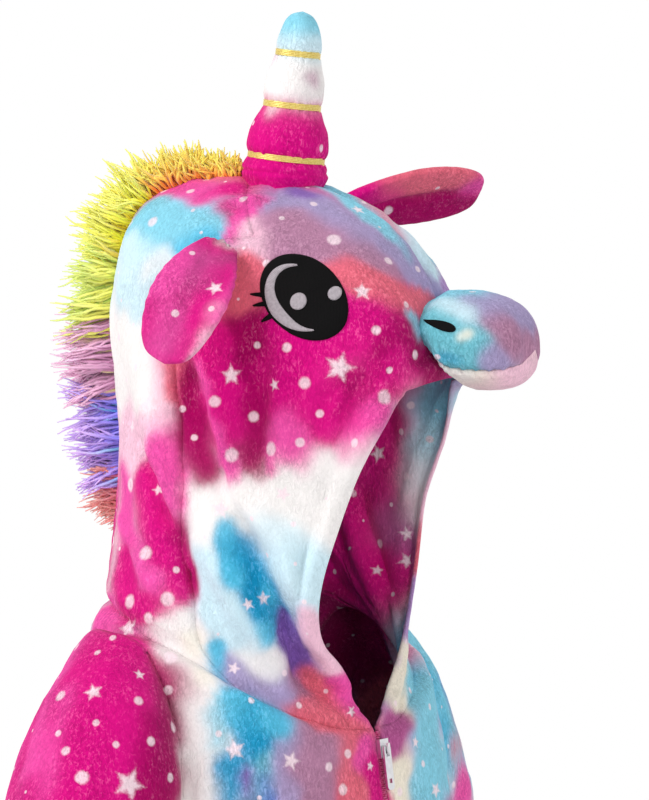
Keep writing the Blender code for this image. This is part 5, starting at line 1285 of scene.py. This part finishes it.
def add_horn(ground, fleece, gold):
    """The stuffed horn, drawn in by three windings of gold thread."""
    foot = ground.under(turned(*HORN_BASE, 290.0), (0, 0, -1))[0][2]
    angle = 2 * math.pi * np.arange(HORN_SIDES) / HORN_SIDES
    rows = curve(HORN, np.linspace(0, len(HORN) - 1, HORN_RINGS))
    up, radius = rows[:, 0][:, None], rows[:, 1][:, None]
    pinch = sum(np.exp(-((up - at) / 4.2) ** 2) for at, _ in THREADS.values())
    wave = (np.sin(17 * angle + 1.3) + 0.7 * np.sin(23 * angle + 0.4) + 0.5 * np.sin(31 * angle + 2.0))[None, :]
    tight = sum(np.exp(-((up - at) / 1.3) ** 2) for at, _ in THREADS.values())
    radius = radius * (1 + 0.03 * pinch * wave * (1 - 0.8 * tight)) - 0.9 * tight
    radius = radius - 1.3 * np.exp(-((up - 7.5 - 1.2 * np.sin(angle + 1.0)) / 1.5) ** 2)
    points = horn_place(foot, up, radius, angle[None, :])
    swell = soft_noise(points, 18.0, 41)
    out = unit(points - horn_place(foot, up, 0.0, 0.0))
    points = points + out * (0.35 * swell * (1 - tight))[..., None]
    seat = np.array([ground.under(p, (0, 0, -1), 80.0)[0][2] for p in points[1]])
    drop = (seat - points[1][:, 2] - 0.4)[None, :] * np.clip(1 - up / 12.0, 0, 1)
    points[..., 2] += np.minimum(drop, 0.0)
    flat, faces = closed_rings(points)
    strokes = []
    for dye, at, degrees, wide in HORN_DYES:
        for turn in ([degrees] if degrees is not None else range(0, 360, 45)):
            middle = horn_place(foot, at, np.interp(at, HORN[:, 0], HORN[:, 1]), math.radians(turn))
            strokes.append((dye, middle, middle, wide))
    marks = [(horn_place(foot, at, np.interp(at, HORN[:, 0], HORN[:, 1]), math.radians(turn)), size, kind)
             for at, turn, size, kind in HORN_MARKS]
    printed_piece("horn_stuffed", flat, faces, fleece, strokes, marks, ["horn"], "fleece_white")
    for name, (at, pinch) in THREADS.items():
        t = np.linspace(0, THREAD_TURNS, 48 * THREAD_TURNS + 1)
        up = at + (t / THREAD_TURNS - 0.5) * THREAD_RISE
        middle = horn_place(foot, up, pinch + 0.15, 2 * math.pi * t)
        make_piece(name + "_wound", *tube(middle, THREAD, 8), gold, stands_for=[name], slot="gold_thread")


def tube(path, radius, sides):
    """Points and faces of a closed tube along a path; radius may change along it."""
    path = np.asarray(path)
    along = unit(np.gradient(path, axis=0))
    aside = unit(np.cross(along, unit(np.array([0.31, 0.27, 0.91]))))
    over = np.cross(aside, along)
    radius = np.broadcast_to(radius, len(path))[:, None, None]
    a = 2 * math.pi * np.arange(sides)[None, :, None] / sides
    points = path[:, None] + radius * (np.cos(a) * aside[:, None] + np.sin(a) * over[:, None])
    count = len(path) * sides
    faces = np.vstack([tube_faces(len(path), sides)[:, ::-1], cap_faces(0, sides, count),
                       cap_faces(count - sides, sides, count + 1)[:, [1, 0, 2, 3]]])
    return np.vstack([points.reshape(-1, 3), path[:1], path[-1:]]), faces


# ------------------------------------------------------------------ ears
EARS = {
    "right": {"root": (9.0, -72.0, 250.0), "bend": (11.0, -110.0, 240.0),
              "tip": (-3.0, -130.0, 186.0), "across": (0.85, -0.20, -0.48), "cup": 4.0,
              "crease": 1.6},
    "left": {"root": (15.0, 62.0, 262.0), "bend": (58.0, 104.0, 284.0),
             "tip": (99.0, 138.0, 281.0), "across": (0.36, -0.64, 0.68), "cup": 4.5,
             "crease": 3.6},
}
EAR = np.array([
    # along   half    half
    #         width   thickness
    (0.00,    10.0,   4.6),
    (0.10,    11.4,   5.0),
    (0.26,    16.0,   5.6),
    (0.44,    20.6,   5.8),
    (0.62,    22.8,   5.6),
    (0.78,    21.2,   5.2),
    (0.90,    17.4,   4.4),
    (0.97,    11.4,   3.2),
    (1.00,     0.4,   0.4),
])
EAR_DYES = {
    # dye       along, from and to   across  width
    "right": (
        # on the near ear the deep stroke is partly painted shade in the crease by its root, and the pink
        # strokes partly painted highlight
        ("white",   -0.06, 0.07,   2.0,   5.5),
        ("magenta",  0.14, 1.05,   0.0,  11.0),
        ("mauve",    0.30, 0.92,  -2.0,   7.5),
        ("mauve",    0.24, 0.50,   8.0,   5.0),
        ("pink",     0.30, 0.58, -13.0,   6.0),
        ("pink",     0.74, 0.98,  -5.0,   6.0),
        ("deep",     0.16, 0.26,   8.0,   4.5),
        ("magenta",  0.40, 0.75,  11.0,   7.0),
        ("pink",     0.35, 0.70,  20.0,   4.5),
        ("blush",    0.66, 0.98,  18.0,   4.0),
    ),
    "left": (
        ("deep",     0.00, 0.12,   0.0,   8.0),
        ("deep",     0.10, 0.95, -10.0,  12.0),
        ("magenta",  0.15, 0.40,   8.0,   9.0),
        ("coral",    0.45, 0.78,  15.0,   9.0),
        ("pink",     0.92, 1.00,   4.0,   7.0),
    ),
}

EAR_STEP = 60.0         # millimetres to a whole share, for places between two rings
EAR_RINGS, EAR_SIDES = 90, 64
EAR_MARKS = {
    # along  across  face  size  kind
    "right": ((0.52, 12.0, 1.0, 4.8, 1), (0.74, -3.0, 1.0, 2.0, 2), (0.30, -10.0, 1.0, 1.5, 2),
              (0.66, 16.0, 1.0, 1.6, 2), (0.55, 2.0, -1.0, 4.4, 1), (0.80, -8.0, -1.0, 1.8, 2)),
    "left": ((0.42, -6.0, 1.0, 2.6, 2), (0.12, 2.0, 1.0, 1.6, 2), (0.70, 8.0, 1.0, 1.4, 2),
             (0.55, 2.0, -1.0, 4.4, 1), (0.42, -6.0, -1.0, 2.2, 2)),
}


def add_ear(side, ground, fleece):
    """A stuffed leaf of two pieces sewn round its edge, gathered at the root and creased."""
    ear = EARS[side]
    root, bend, tip = (turned(*ear[k]) for k in ("root", "bend", "tip"))
    across = turned(*ear["across"])
    share, wide, thick = curve(EAR, np.linspace(0, len(EAR) - 1, EAR_RINGS)).T[..., None]
    drawn = np.sqrt(np.clip(1 - ((9 - np.arange(EAR_RINGS)) / 9.4).clip(0) ** 2, 0.0, 1.0))[:, None]
    wide, thick = wide * drawn, thick * drawn
    middle = root * (1 - share) ** 2 + 2 * bend * share * (1 - share) + tip * share**2
    along = unit((bend - root) * (1 - share) + (tip - bend) * share)
    side_way = unit(across - along * np.sum(across * along, axis=-1, keepdims=True))
    out = unit(np.cross(along, side_way))
    a = (2 * math.pi * np.arange(EAR_SIDES) / EAR_SIDES)[None, :]
    reach = np.cos(a) * (1 + 0.03 * np.cos(2 * a))
    puff = np.sign(np.sin(a)) * np.abs(np.sin(a)) ** 0.6
    gather = np.exp(-(share / 0.12) ** 2) * 0.16 * np.sin(9 * a + 1.0)
    crease = ear["crease"] * np.exp(-((reach + 0.12 - 0.2 * share) / 0.16) ** 2) * np.sin(math.pi * share)
    crease = crease * np.sign(puff)
    bow = ear["cup"] * np.cos(a) ** 2 * wide / 25.0
    height = thick * (puff * (1 + gather)) - crease * np.sqrt(wide / 24.0) + bow
    points = middle[:, None] + side_way[:, None] * (wide * reach)[..., None] + out[:, None] * height[..., None]
    edge = 0.5 * np.exp(-(np.sin(a) / 0.16) ** 2) * np.sin(70 * share + 2.0) * np.sin(math.pi * share)
    points = points + side_way[:, None] * (np.sign(np.cos(a)) * edge)[..., None]
    points = points + out[:, None] * (0.4 * soft_noise(points, 16.0, 43) * puff)[..., None]
    way = unit(root - bend)
    for r in range(8):
        for i in range(EAR_SIDES):
            hit, _ = ground.under(points[r, i], way)
            seat = (points[r, i] - hit) @ way
            if r == 0:
                points[r, i] = hit + way * 0.6
            elif seat > -0.8 * r:
                points[r, i] = points[r, i] - way * (seat + 0.8 * r)
    flat, faces = closed_rings(points)

    def on_leaf(part, aside, front=0.0):
        """A place on the ear: its share of the length, and millimetres across and out."""
        ring = int(np.argmin(np.abs(share[:, 0] - part)))
        ahead = along[ring] * (part - share[ring, 0]) * EAR_STEP
        return middle[ring] + ahead + side_way[ring] * aside + out[ring] * front

    strokes = [(dye, on_leaf(start, aside), on_leaf(end, aside), wide)
               for dye, start, end, aside, wide in EAR_DYES[side]]
    marks = [(on_leaf(part, aside, front * 9.0), size, kind)
             for part, aside, front, size, kind in EAR_MARKS[side]]
    printed_piece(f"ear_{side}_stuffed", flat, faces, fleece, strokes, marks, ["ear_" + side],
                  "fleece_pink")


# ------------------------------------------------------------------ muzzle
MUZZLE = np.array([
    # forward  half    up     half
    #          width          height
    (104.0,    40.0,  202.0,  17.5),
    (112.0,    42.5,  200.5,  21.0),
    (121.0,    44.5,  198.5,  25.5),
    (133.0,    44.0,  196.5,  28.0),
    (147.0,    42.5,  195.0,  28.5),
    (159.0,    38.0,  193.5,  26.5),
    (168.0,    30.0,  192.0,  21.5),
    (173.5,    18.0,  191.0,  13.5),
    (176.0,     0.5,  190.5,   0.5),
])
MUZZLE_SEAM = 0.55                  # share of the half height, below the middle, at the seam
MUZZLE_RINGS = 96
MUZZLE_MARKS = ((128.0, 44.0, 186.0, 1.6), (140.0, 6.0, 225.0, 1.8))    # forward, aside, up, size
MUZZLE_DYES = {
    # dye          forward  aside  up      ahead  rise   width
    "muzzle_top": (
        ("reef",      104.0,  40.0,  208.0,   18.0,  0.0,  12.0),
        ("reef",      112.0,  44.0,  196.0,   32.0, -6.0,  11.0),
        ("teal",      134.0,  44.0,  186.0,   10.0, -2.0,   3.2),
        ("sea",       112.0,  10.0,  222.0,   20.0,  0.0,  14.0),
        ("ice",       104.0,  42.0,  188.0,   12.0,  0.0,   6.0),
        ("ice",       130.0,  30.0,  218.0,   12.0, -2.0,   7.0),
        ("haze",      146.0,  20.0,  218.0,   10.0, -4.0,   8.0),
        ("haze",      158.0,   0.0,  214.0,    4.0, -6.0,  10.0),
        ("dusk",      162.0,  26.0,  206.0,    6.0, -8.0,   7.0),
        ("dusk",      174.0,   8.0,  192.0,    1.0,  2.0,   6.0),
        ("haze",      162.0,  36.0,  186.0,    4.0, -2.0,   6.0),
        ("cream",     144.0,  40.0,  199.0,    3.0,  1.0,   2.8),
    ),
    "muzzle_under": (
        ("ice",       112.0,  30.0,  176.0,   10.0,  0.0,   9.0),
        ("cream",     122.0,  20.0,  174.0,   24.0,  0.0,  12.0),
        ("blush",     148.0,  16.0,  172.0,   14.0,  4.0,  10.0),
        ("white",     130.0,  30.0,  172.0,   10.0,  2.0,   8.0),
    ),
}


def add_muzzle(ground, fleece):
    """The stuffed nose: a printed top piece and a pale under piece, puckered at their seam."""
    seam = math.asin(MUZZLE_SEAM)
    rows = curve(MUZZLE, np.linspace(0, len(MUZZLE) - 1, MUZZLE_RINGS))
    forward, half, up, high = rows.T[..., None]
    skins = []
    for name, low, top, sides, slot in (("muzzle_top", -seam, math.pi + seam, 96, "fleece_blue"),
                                        ("muzzle_under", math.pi + seam, 2 * math.pi - seam, 48,
                                         "fleece_white")):
        angle = np.linspace(low, top, sides + 1)[None, :]
        from_seam = np.minimum(angle - low, top - angle) * half
        groove = 2.2 * np.exp(-(from_seam / 2.6) ** 2) - 0.8 * np.exp(-((from_seam - 6.0) / 3.6) ** 2)
        pucker = 1 + 0.5 * np.sin(forward * 0.9 + 1.0) + 0.3 * np.sin(forward * 1.7)
        shrink = groove * pucker * np.clip(half / 20.0, 0.1, 1.0)
        grown = (half - shrink) / half
        skin = turned(forward, half * grown * np.cos(angle), up + high * grown * np.sin(angle))
        lid = skin[:, -1:] + (skin[:, :1] - skin[:, -1:]) * np.linspace(0, 1, 14)[None, 1:-1, None]
        inward = 1.6 if name == "muzzle_top" else -1.6
        lid = lid + np.array([0.0, 0.0, inward]) * np.clip(half / 20.0, 0.0, 1.0)[..., None]
        points = np.concatenate([skin, lid], axis=1)
        out = unit(points - turned(forward, 0.0, up))
        points = points + out * (0.3 * soft_noise(points, 15.0, 45))[..., None]
        back = np.array([ground.under(p, turned(-1, 0, 0))[0] for p in points[0]])
        for r in range(MUZZLE_RINGS):
            ahead = head_place(points[r])[0] - head_place(back)[0] - r * 0.35 + 0.8
            points[r] += turned(np.maximum(-ahead, 0.0), 0.0, 0.0) if r else 0.0
        points[0] = back - turned(0.8, 0.0, 0.0)
        flat, faces = closed_rings(points)
        strokes = [(dye, turned(f, side * out_to, u), turned(f + ahead, side * out_to, u + rise), wide)
                   for dye, f, out_to, u, ahead, rise, wide in MUZZLE_DYES[name] for side in (-1, 1)]
        marks = [(turned(f, side * out_to, u), size, 2) for f, out_to, u, size in MUZZLE_MARKS
                 for side in (-1, 1)]
        printed_piece(name + "_stuffed", flat, faces, fleece, strokes, marks, [name], slot)
        skins.append((flat, faces))
    return Ground(np.vstack([skins[0][0], skins[1][0]]),
                  np.vstack([skins[0][1], skins[1][1] + len(skins[0][0])]))


# ------------------------------------------------------------------ embroidery
EYE = {"forward": 60.4, "up": 222.2, "half_long": 30.0, "half_high": 20.0, "tilt": -38.0}
LASHES = ((189.0, 6.4), (201.0, 6.8), (218.0, 6.2))
SHINE_DOTS = {"dot": (-1.6, -2.2, 4.8), "spark": (18.2, 2.4, 3.9)}
CRESCENT = {"share": 0.75, "from": 107.0, "to": 297.0, "half": 3.5}      # share of the way to the rim
NOSTRIL = {"forward": 131.0, "up": 206.0, "half_long": 10.5, "half_high": 3.6, "slope": -14.0}
STITCHED = 1.0          # how proud the thread stands
SEAT = 0.35             # of the thread above the nap
STITCH_SINK = 0.3       # how deep its edge goes
FROM_SIDE = 100.0       # where the rays towards the hood's side start


def add_patch(name, outline, forward, up, sign, ground, thread, stands_for, slot, proud=STITCHED, rings=10):
    """Stitching laid on a surface from the side, domed, its edge down on the cloth."""
    sideways = turned(0, -sign, 0)
    outline = np.asarray(outline)
    n = len(outline)
    share = np.sqrt(np.linspace(0, 1, rings + 1)[1:])
    points, faces = [], []

    def seat(f, u):
        """Where a point of the patch meets the ground, and the way out there."""
        return ground.under(turned(forward + f, sign * FROM_SIDE, up + u), sideways)

    middle, normal = seat(0.0, 0.0)
    points.append(middle + normal * (SEAT + proud))
    for s in share:
        dome = SEAT + proud * (1 - 0.75 * max(0.0, (s - 0.86) / 0.14) ** 2)
        for f, u in outline * s:
            hit, normal = seat(f, u)
            points.append(hit + normal * dome)
    for f, u in outline:
        hit, normal = seat(f, u)
        points.append(hit - normal * STITCH_SINK)
    i = np.arange(n)
    j = (i + 1) % n
    faces.append(np.stack([0 * i, 1 + i, 1 + j, 1 + j], axis=-1))
    for r in range(rings):
        a, b = 1 + r * n, 1 + (r + 1) * n
        faces.append(np.stack([a + i, b + i, b + j, a + j], axis=-1))
    points.append(middle - normal * STITCH_SINK)
    way = [0.0] + [f * s + 0.12 * u * s for s in share for f, u in outline] + [f for f, _ in outline] + [0.0]
    last = 1 + rings * n
    faces.append(np.stack([last + j, last + i, i * 0 + len(points) - 1, i * 0 + len(points) - 1], axis=-1))
    faces = np.vstack(faces)
    if sign < 0:
        faces = faces[:, ::-1]
    make_piece(name, points, faces, thread, stands_for=stands_for, slot=slot,
               stitch=np.array([(value, 0.0, 0.0) for value in way]))
    return Ground(points, faces)


def oval(half_long, half_high, tilt, count=72, lashes=()):
    """A tilted oval's outline, with tapered lashes."""
    tilt = math.radians(tilt)
    angles = list(np.linspace(0, 2 * math.pi, count, endpoint=False))
    for at, _ in lashes:
        angles = [a for a in angles if abs(math.degrees(a) - at) > 3.4]
        angles += [math.radians(at + d) for d in (-3.2, -1.9, -0.7, 0.7, 1.9, 3.2)]
    points = []
    for a in sorted(angles):
        x, y = half_long * math.cos(a - tilt), half_high * math.sin(a - tilt)
        p = np.array([x * math.cos(tilt) - y * math.sin(tilt), x * math.sin(tilt) + y * math.cos(tilt)])
        for at, length in lashes:
            off = abs(math.degrees(a) - at)
            p = p + unit(p) * length * (1.0 if off < 1.0 else 0.55 if off < 2.2 else 0.0)
        points.append(p)
    return np.array(points)


def add_eye(side, ground, black, silver):
    """The black oval and its lashes, with the silver crescent and two dots stitched over."""
    sign = 1 if side == "left" else -1
    over = add_patch(f"eye_{side}_stitched", oval(EYE["half_long"], EYE["half_high"], EYE["tilt"], 90, LASHES),
                     EYE["forward"], EYE["up"], sign, ground, black, ["eye_" + side], "black_thread")
    for kind, (forward, up, radius) in SHINE_DOTS.items():
        add_patch(f"eye_{kind}_{side}_stitched", oval(radius, radius, 0.0, 28), EYE["forward"] + forward,
                  EYE["up"] + up, sign, over, silver, [f"eye_{kind}_{side}"], "silver_thread", 0.8, 5)
    sideways = turned(0, -sign, 0)
    arc = np.linspace(CRESCENT["from"], CRESCENT["to"], 49)
    across = np.linspace(-1, 1, 9)
    rows = []
    for k, degrees in enumerate(arc):
        a = math.radians(degrees)
        half = CRESCENT["half"] * math.sin(math.pi * (k + 1.4) / 50.8) + 0.15
        leaned = a - math.radians(EYE["tilt"])
        reach = 1 / math.hypot(math.cos(leaned) / EYE["half_long"], math.sin(leaned) / EYE["half_high"])
        row = []
        for s in across:
            radius = CRESCENT["share"] * reach + half * s
            hit, normal = over.under(turned(EYE["forward"] + radius * math.cos(a), sign * FROM_SIDE,
                                            EYE["up"] + radius * math.sin(a)), sideways)
            row.append(hit + normal * (0.1 + 0.8 * (1 - s**4)))
        rows.append(row)
    r, c = np.meshgrid(np.arange(48), np.arange(8), indexing="ij")
    i = (r * 9 + c).reshape(-1)
    faces = np.stack([i, i + 1, i + 10, i + 9], axis=-1)
    if sign > 0:
        faces = faces[:, ::-1]
    way = [(0.36 * degrees, 0.0, 0.0) for degrees in arc for _ in across]
    make_piece(f"eye_shine_{side}_stitched", np.array(rows).reshape(-1, 3), faces, silver,
               stands_for=["eye_shine_" + side], slot="silver_thread", stitch=np.array(way))


def add_nostril(side, ground, black):
    """A black teardrop, round in front and pointed behind."""
    sign = 1 if side == "left" else -1
    slope = math.radians(NOSTRIL["slope"])
    a = 2 * math.pi * np.arange(48) / 48
    along = np.cos(a) * NOSTRIL["half_long"]
    high = np.sin(a) * NOSTRIL["half_high"] * (0.62 + 0.38 * np.cos(a))
    outline = np.stack([along * math.cos(slope) - high * math.sin(slope),
                        along * math.sin(slope) + high * math.cos(slope)], axis=-1)
    add_patch(f"nostril_{side}_stitched", outline, NOSTRIL["forward"], NOSTRIL["up"], sign, ground, black,
              ["nostril_" + side], "black_thread", 0.9, 6)


# ------------------------------------------------------------------ mane
MANE_START = 12.0                   # along the crest from the crown
MANE_PITCH = 4.75
MANE_ACROSS = 4                     # locks side by side
MANE_CELL = 3.5
MANE_SPLAY = 0.26
MANE_BREAK = 0.6
MANE = (
    # band           rows  length at each end   root and tip colour, and the odd strand's
    ("mane_orange",  12,   (12.0, 35.0), "#ff8e34", "#ffdc66", "#ee5a20"),
    ("mane_yellow",   7,   (35.0, 37.0), "#ffdc28", "#fff07a", "#ffc83c"),
    ("mane_green",    9,   (38.0, 40.0), "#fbf06c", "#dcec84", "#b8d05c"),
    ("mane_mauve",    8,   (40.0, 43.0), "#c78ab2", "#ecbcd8", "#d2cc86"),
    ("mane_blue",    11,   (43.0, 43.0), "#7c7ae6", "#cbabec", "#66bcf0"),
    ("mane_coral",    6,   (42.0, 30.0), "#f4668e", "#ffa69c", "#c08ae0"),
)
STRANDS = 14                        # in a lock
STRAND = 1.25                       # half thickness of a strand


def crest(ground):
    """The hood's centre line from the crown down its back."""
    path = []
    for row in curve(HOOD, np.linspace(CROWN_ROW - 0.02, 1.2, 160)):
        top = turned(row[3], 0.0, row[4], row[0])
        out = unit(top - turned(row[1], 0.0, row[2], row[0]))
        path.append(ground.under(top, -out)[0])
    return np.array(path)


def add_mane(ground, yarns):
    """Six bands of cut yarn along the centre-back seam, in clumped, pointed locks."""
    rng = np.random.default_rng(11)
    path = crest(ground)
    steps = np.concatenate([[0], np.cumsum(np.linalg.norm(np.diff(path, axis=0), axis=1))])

    def place(far):
        """The place so many millimetres along the crest."""
        return np.array([np.interp(far, steps, path[:, k]) for k in range(3)])

    across = turned(0, 1, 0)
    far = MANE_START
    t = np.linspace(0, 1, 12)[:, None]
    for k, (name, rows, lengths, *_) in enumerate(MANE):
        end = far + rows * MANE_PITCH
        points, faces, colours, count = [], [], [], 0
        for row in range(rows):
            share = (row + 0.5) / rows
            at = far + (row + 0.5) * MANE_PITCH
            along = unit(place(at + 5.0) - place(at - 5.0))
            out = unit(np.cross(across, along))
            for column in range(MANE_ACROSS):
                wide = (column - (MANE_ACROSS - 1) / 2)
                lean = wide * MANE_SPLAY + rng.uniform(-0.2, 0.2)
                way = unit(out + across * lean + along * rng.uniform(-0.34, 0.42))
                length = (lengths[0] * (1 - share) + lengths[1] * share) * rng.uniform(0.74, 1.08)
                tip = way * length
                # the yarns of neighbouring bands mix where they meet
                mixed = share + rng.normal() * 0.12
                band = MANE[max(k - 1, 0) if mixed < 0.0 else min(k + 1, len(MANE) - 1) if mixed > 1.0 else k]
                for _ in range(STRANDS):
                    root = (place(at + rng.uniform(-0.62, 0.62) * MANE_PITCH)
                            + across * (wide + rng.uniform(-0.62, 0.62)) * MANE_CELL - out * 0.8)
                    loose = rng.normal(size=3) * 2.5
                    gathered = (place(at) + across * wide * MANE_CELL - root) * 0.55
                    to = tip * rng.uniform(0.72, 1.04) + loose + gathered
                    bend = unit(np.cross(way, rng.normal(size=3))) * rng.uniform(1.0, 5.0)
                    line = root + to * t + bend * np.sin(math.pi * t * rng.uniform(0.8, 1.6))
                    curl = unit(np.cross(way, rng.normal(size=3)))
                    wave = np.sin(length / 2.6 * t + rng.uniform(0, 6.3))
                    line = line + curl * fade(t, 0.1, 0.5) * 0.6 * wave
                    line = line + along * 2.4 * t**2 * rng.uniform(0.0, 1.5)
                    thick = STRAND * rng.uniform(0.7, 1.2) * (1 - 0.75 * fade(t[:, 0], 0.55, 1.05))
                    made, sides = tube(line, thick, 3)
                    deep, light, odd = (np.array(linear(dye)) for dye in band[3:])
                    at_root = odd if rng.random() < 0.16 else deep
                    paler = fade(np.concatenate([np.repeat(t[:, 0], 3), [0.0, 1.0]]), 0.1, 0.95)[:, None]
                    # each strand is lifted 5 to 35 per cent above its dyes: partly random tone, partly painted
                    # light for the light the yarn scatters into the shade between its strands
                    tone = (at_root * (1 - paler) + light * paler) * rng.uniform(1.05, 1.35)
                    points.append(made)
                    faces.append(sides + count)
                    colours.append(np.hstack([tone, np.ones((len(made), 1))]))
                    count += len(made)
        make_piece(name + "_yarn", np.vstack(points), np.vstack(faces), yarns[name], stands_for=[name],
                   slot=name.replace("mane", "yarn"), strand=np.clip(np.vstack(colours), 0, 1))
        far = end + MANE_BREAK


# ------------------------------------------------------------------ zip
TOOTH_PITCH = 1.45      # of a fine moulded chain
TOOTH = ((-0.35, -0.55), (1.7, -0.62), (1.7, 0.62), (-0.35, 0.55), (-0.75, 0.0))    # across and along
TOOTH_LAYERS = ((-1.05, 1.0), (-0.15, 1.0), (0.05, 0.82))       # how proud, and how large
TAPE_HALF = 2.5
CHAIN_START = 3.5


def add_zip(ground, tape, cast):
    """The tape and the two rows of teeth in the gap between the fronts."""
    top = HOOD[0][2] - CHAIN_START
    levels = np.arange(top, ZIP_BOTTOM + 5.0, -TOOTH_PITCH)
    front = np.array([ground.under((ZIP_HALF + 1.5, -100.0, z), (0, 1, 0))[0][1] for z in levels])
    front = np.convolve(np.pad(front, 4, mode="edge"), np.ones(9) / 9, mode="valid")
    line = np.stack([0 * levels, front, levels], axis=-1)
    run = unit(np.gradient(line, axis=0))
    out = unit(np.cross(run, (1.0, 0.0, 0.0)))
    out *= -np.sign(out[:, 1:2])
    section = np.array([(-TAPE_HALF, -1.5), (-TAPE_HALF, -1.0), (TAPE_HALF, -1.0), (TAPE_HALF, -1.5)])
    strip = line[:, None] + np.array([1.0, 0, 0]) * section[None, :, :1] + out[:, None] * section[None, :, 1:]
    faces = tube_faces(len(levels), 4)
    ends = np.array([[0, 1, 2, 3], [len(levels) * 4 - 1 - k for k in range(4)]])
    make_piece("zip_tape_woven", strip.reshape(-1, 3), np.vstack([faces, ends[:, ::-1]]), tape,
               stands_for=["zip_chain"], slot="zip_tape")
    points, faces = [], []
    for k in range(len(levels)):
        side = 1 if k % 2 else -1
        for lift, inset in TOOTH_LAYERS:
            for x, d in TOOTH:
                points.append(line[k] + np.array([side * x * inset, 0, 0]) + run[k] * d * inset
                              + out[k] * lift)
        first = k * 15
        order = [0, 1, 2, 3, 4] if side > 0 else [4, 3, 2, 1, 0]
        for layer in (0, 5):
            faces += [[first + layer + order[i], first + layer + order[(i + 1) % 5],
                       first + layer + 5 + order[(i + 1) % 5], first + layer + 5 + order[i]] for i in range(5)]
        faces += [[first + 10 + order[i] for i in ids] for ids in ((0, 1, 2, 3), (3, 4, 0, 0))]
    make_piece("zip_teeth_moulded", points, faces, tape, slot="zip_tape")
    for node in ("zip_slider", "zip_pull"):
        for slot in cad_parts[node].material_slots:
            slot.material = cast


# ------------------------------------------------------------------ studio
FLOOR_Z = HEM_Z - 5.0
LOOK_AZ, LOOK_EL = -52.0, 4.0
LENS = 181.4
CAMERA_AWAY = 2.4                   # metres
CAMERA_SIDE, CAMERA_UP = 0.0432, 0.157
SENSOR = 36.0
FLOOR_SIZE = 5.0
LAMPS_AIM = 0.05                    # height that every lamp points at
WALL_LIGHT = 1.0                    # the bright walls, seen behind the onesie
ROOM_LIGHT = 0.45                   # ceiling and floor
LAMPS = (
    # name          across  up    ahead  size          power
    ("key_softbox",  -1.7,  1.9,  0.9,   (1.0, 1.0),   40.0),
    ("fill_softbox",  1.0,  0.6,  2.6,   (0.9, 0.9),   13.0),
    ("back_softbox",  0.6,  1.9, -1.6,   (1.2, 1.0),   16.0),
)


def add_studio():
    """A pale floor, soft lights all round and the camera at the front right."""
    bpy.ops.mesh.primitive_plane_add(size=FLOOR_SIZE, location=(0, 0, FLOOR_Z * MM))
    floor = bpy.context.object
    floor.name = "studio_floor"
    pale = new_material("matt_studio_paint", Base_Color=paint("#f4f3f4"), Roughness=0.9)[0]
    floor.data.materials.append(pale)
    world = bpy.data.worlds.new("studio")
    bpy.context.scene.world = world
    world.use_nodes = True
    tree = world.node_tree
    off = math_node(tree, "ABSOLUTE", parts(tree, add_node(tree, "TexCoord").outputs["Generated"])["Z"])
    glow = spread(tree, off, 0.24, 0.55, WALL_LIGHT, ROOM_LIGHT)
    tree.links.new(glow, tree.nodes["Background"].inputs["Strength"])
    tree.nodes["Background"].inputs["Color"].default_value = (1.0, 1.0, 1.0, 1.0)
    az, el = math.radians(LOOK_AZ), math.radians(LOOK_EL)
    out = Vector((math.sin(az) * math.cos(el), -math.cos(az) * math.cos(el), math.sin(el)))
    right = Vector((math.cos(az), math.sin(az), 0.0))
    target = right * CAMERA_SIDE + Vector((0, 0, CAMERA_UP))
    for name, side, up, ahead, size, power in LAMPS:
        data = bpy.data.lights.new(name, "AREA")
        data.shape = "RECTANGLE"
        data.size, data.size_y = size
        data.energy = power
        lamp = bpy.data.objects.new(name, data)
        bpy.context.scene.collection.objects.link(lamp)
        lamp.location = right * side + Vector((out.x, out.y, 0)) * ahead + Vector((0, 0, up))
        lamp.rotation_euler = (Vector((0, 0, LAMPS_AIM)) - lamp.location).to_track_quat("-Z", "Y").to_euler()
    data = bpy.data.cameras.new("camera")
    data.lens, data.sensor_width = LENS, SENSOR
    camera = bpy.data.objects.new("camera", data)
    bpy.context.scene.collection.objects.link(camera)
    camera.location = target + out * CAMERA_AWAY
    camera.rotation_euler = (-out).to_track_quat("-Z", "Y").to_euler()
    bpy.context.scene.camera = camera
    bpy.context.scene.view_settings.view_transform = "Standard"


# ------------------------------------------------------------------ the onesie
def build():
    """The whole onesie, in the order in which its pieces are sewn on, and the studio."""
    fleece = flannel_fleece()
    black = stitched_thread("black_polyester_thread", "#050405", 0.8, 0.3)
    silver = stitched_thread("silver_polyester_thread", "#a69ea4", 0.45, 0.22)
    gold = metallic_thread()
    yarns = {band[0]: acrylic_yarn(band[0].replace("mane", "acrylic_yarn")) for band in MANE}
    cloth = Cloth()
    add_cloth(cloth, fleece)
    hood = np.isin(cloth.labels, [cloth.names.index(n) for n in cloth.names if n.startswith("hood")])
    ground = Ground(cloth.points, cloth.quads[hood])
    fronts = Ground(cloth.points, cloth.quads[cloth.labels == cloth.names.index("front_left")])
    add_horn(ground, fleece, gold)
    for side in ("left", "right"):
        add_ear(side, ground, fleece)
        add_eye(side, ground, black, silver)
    skin = add_muzzle(ground, fleece)
    for side in ("left", "right"):
        add_nostril(side, skin, black)
    add_mane(ground, yarns)
    add_zip(fronts, nylon_tape(), zinc_alloy())
    add_studio()


build()
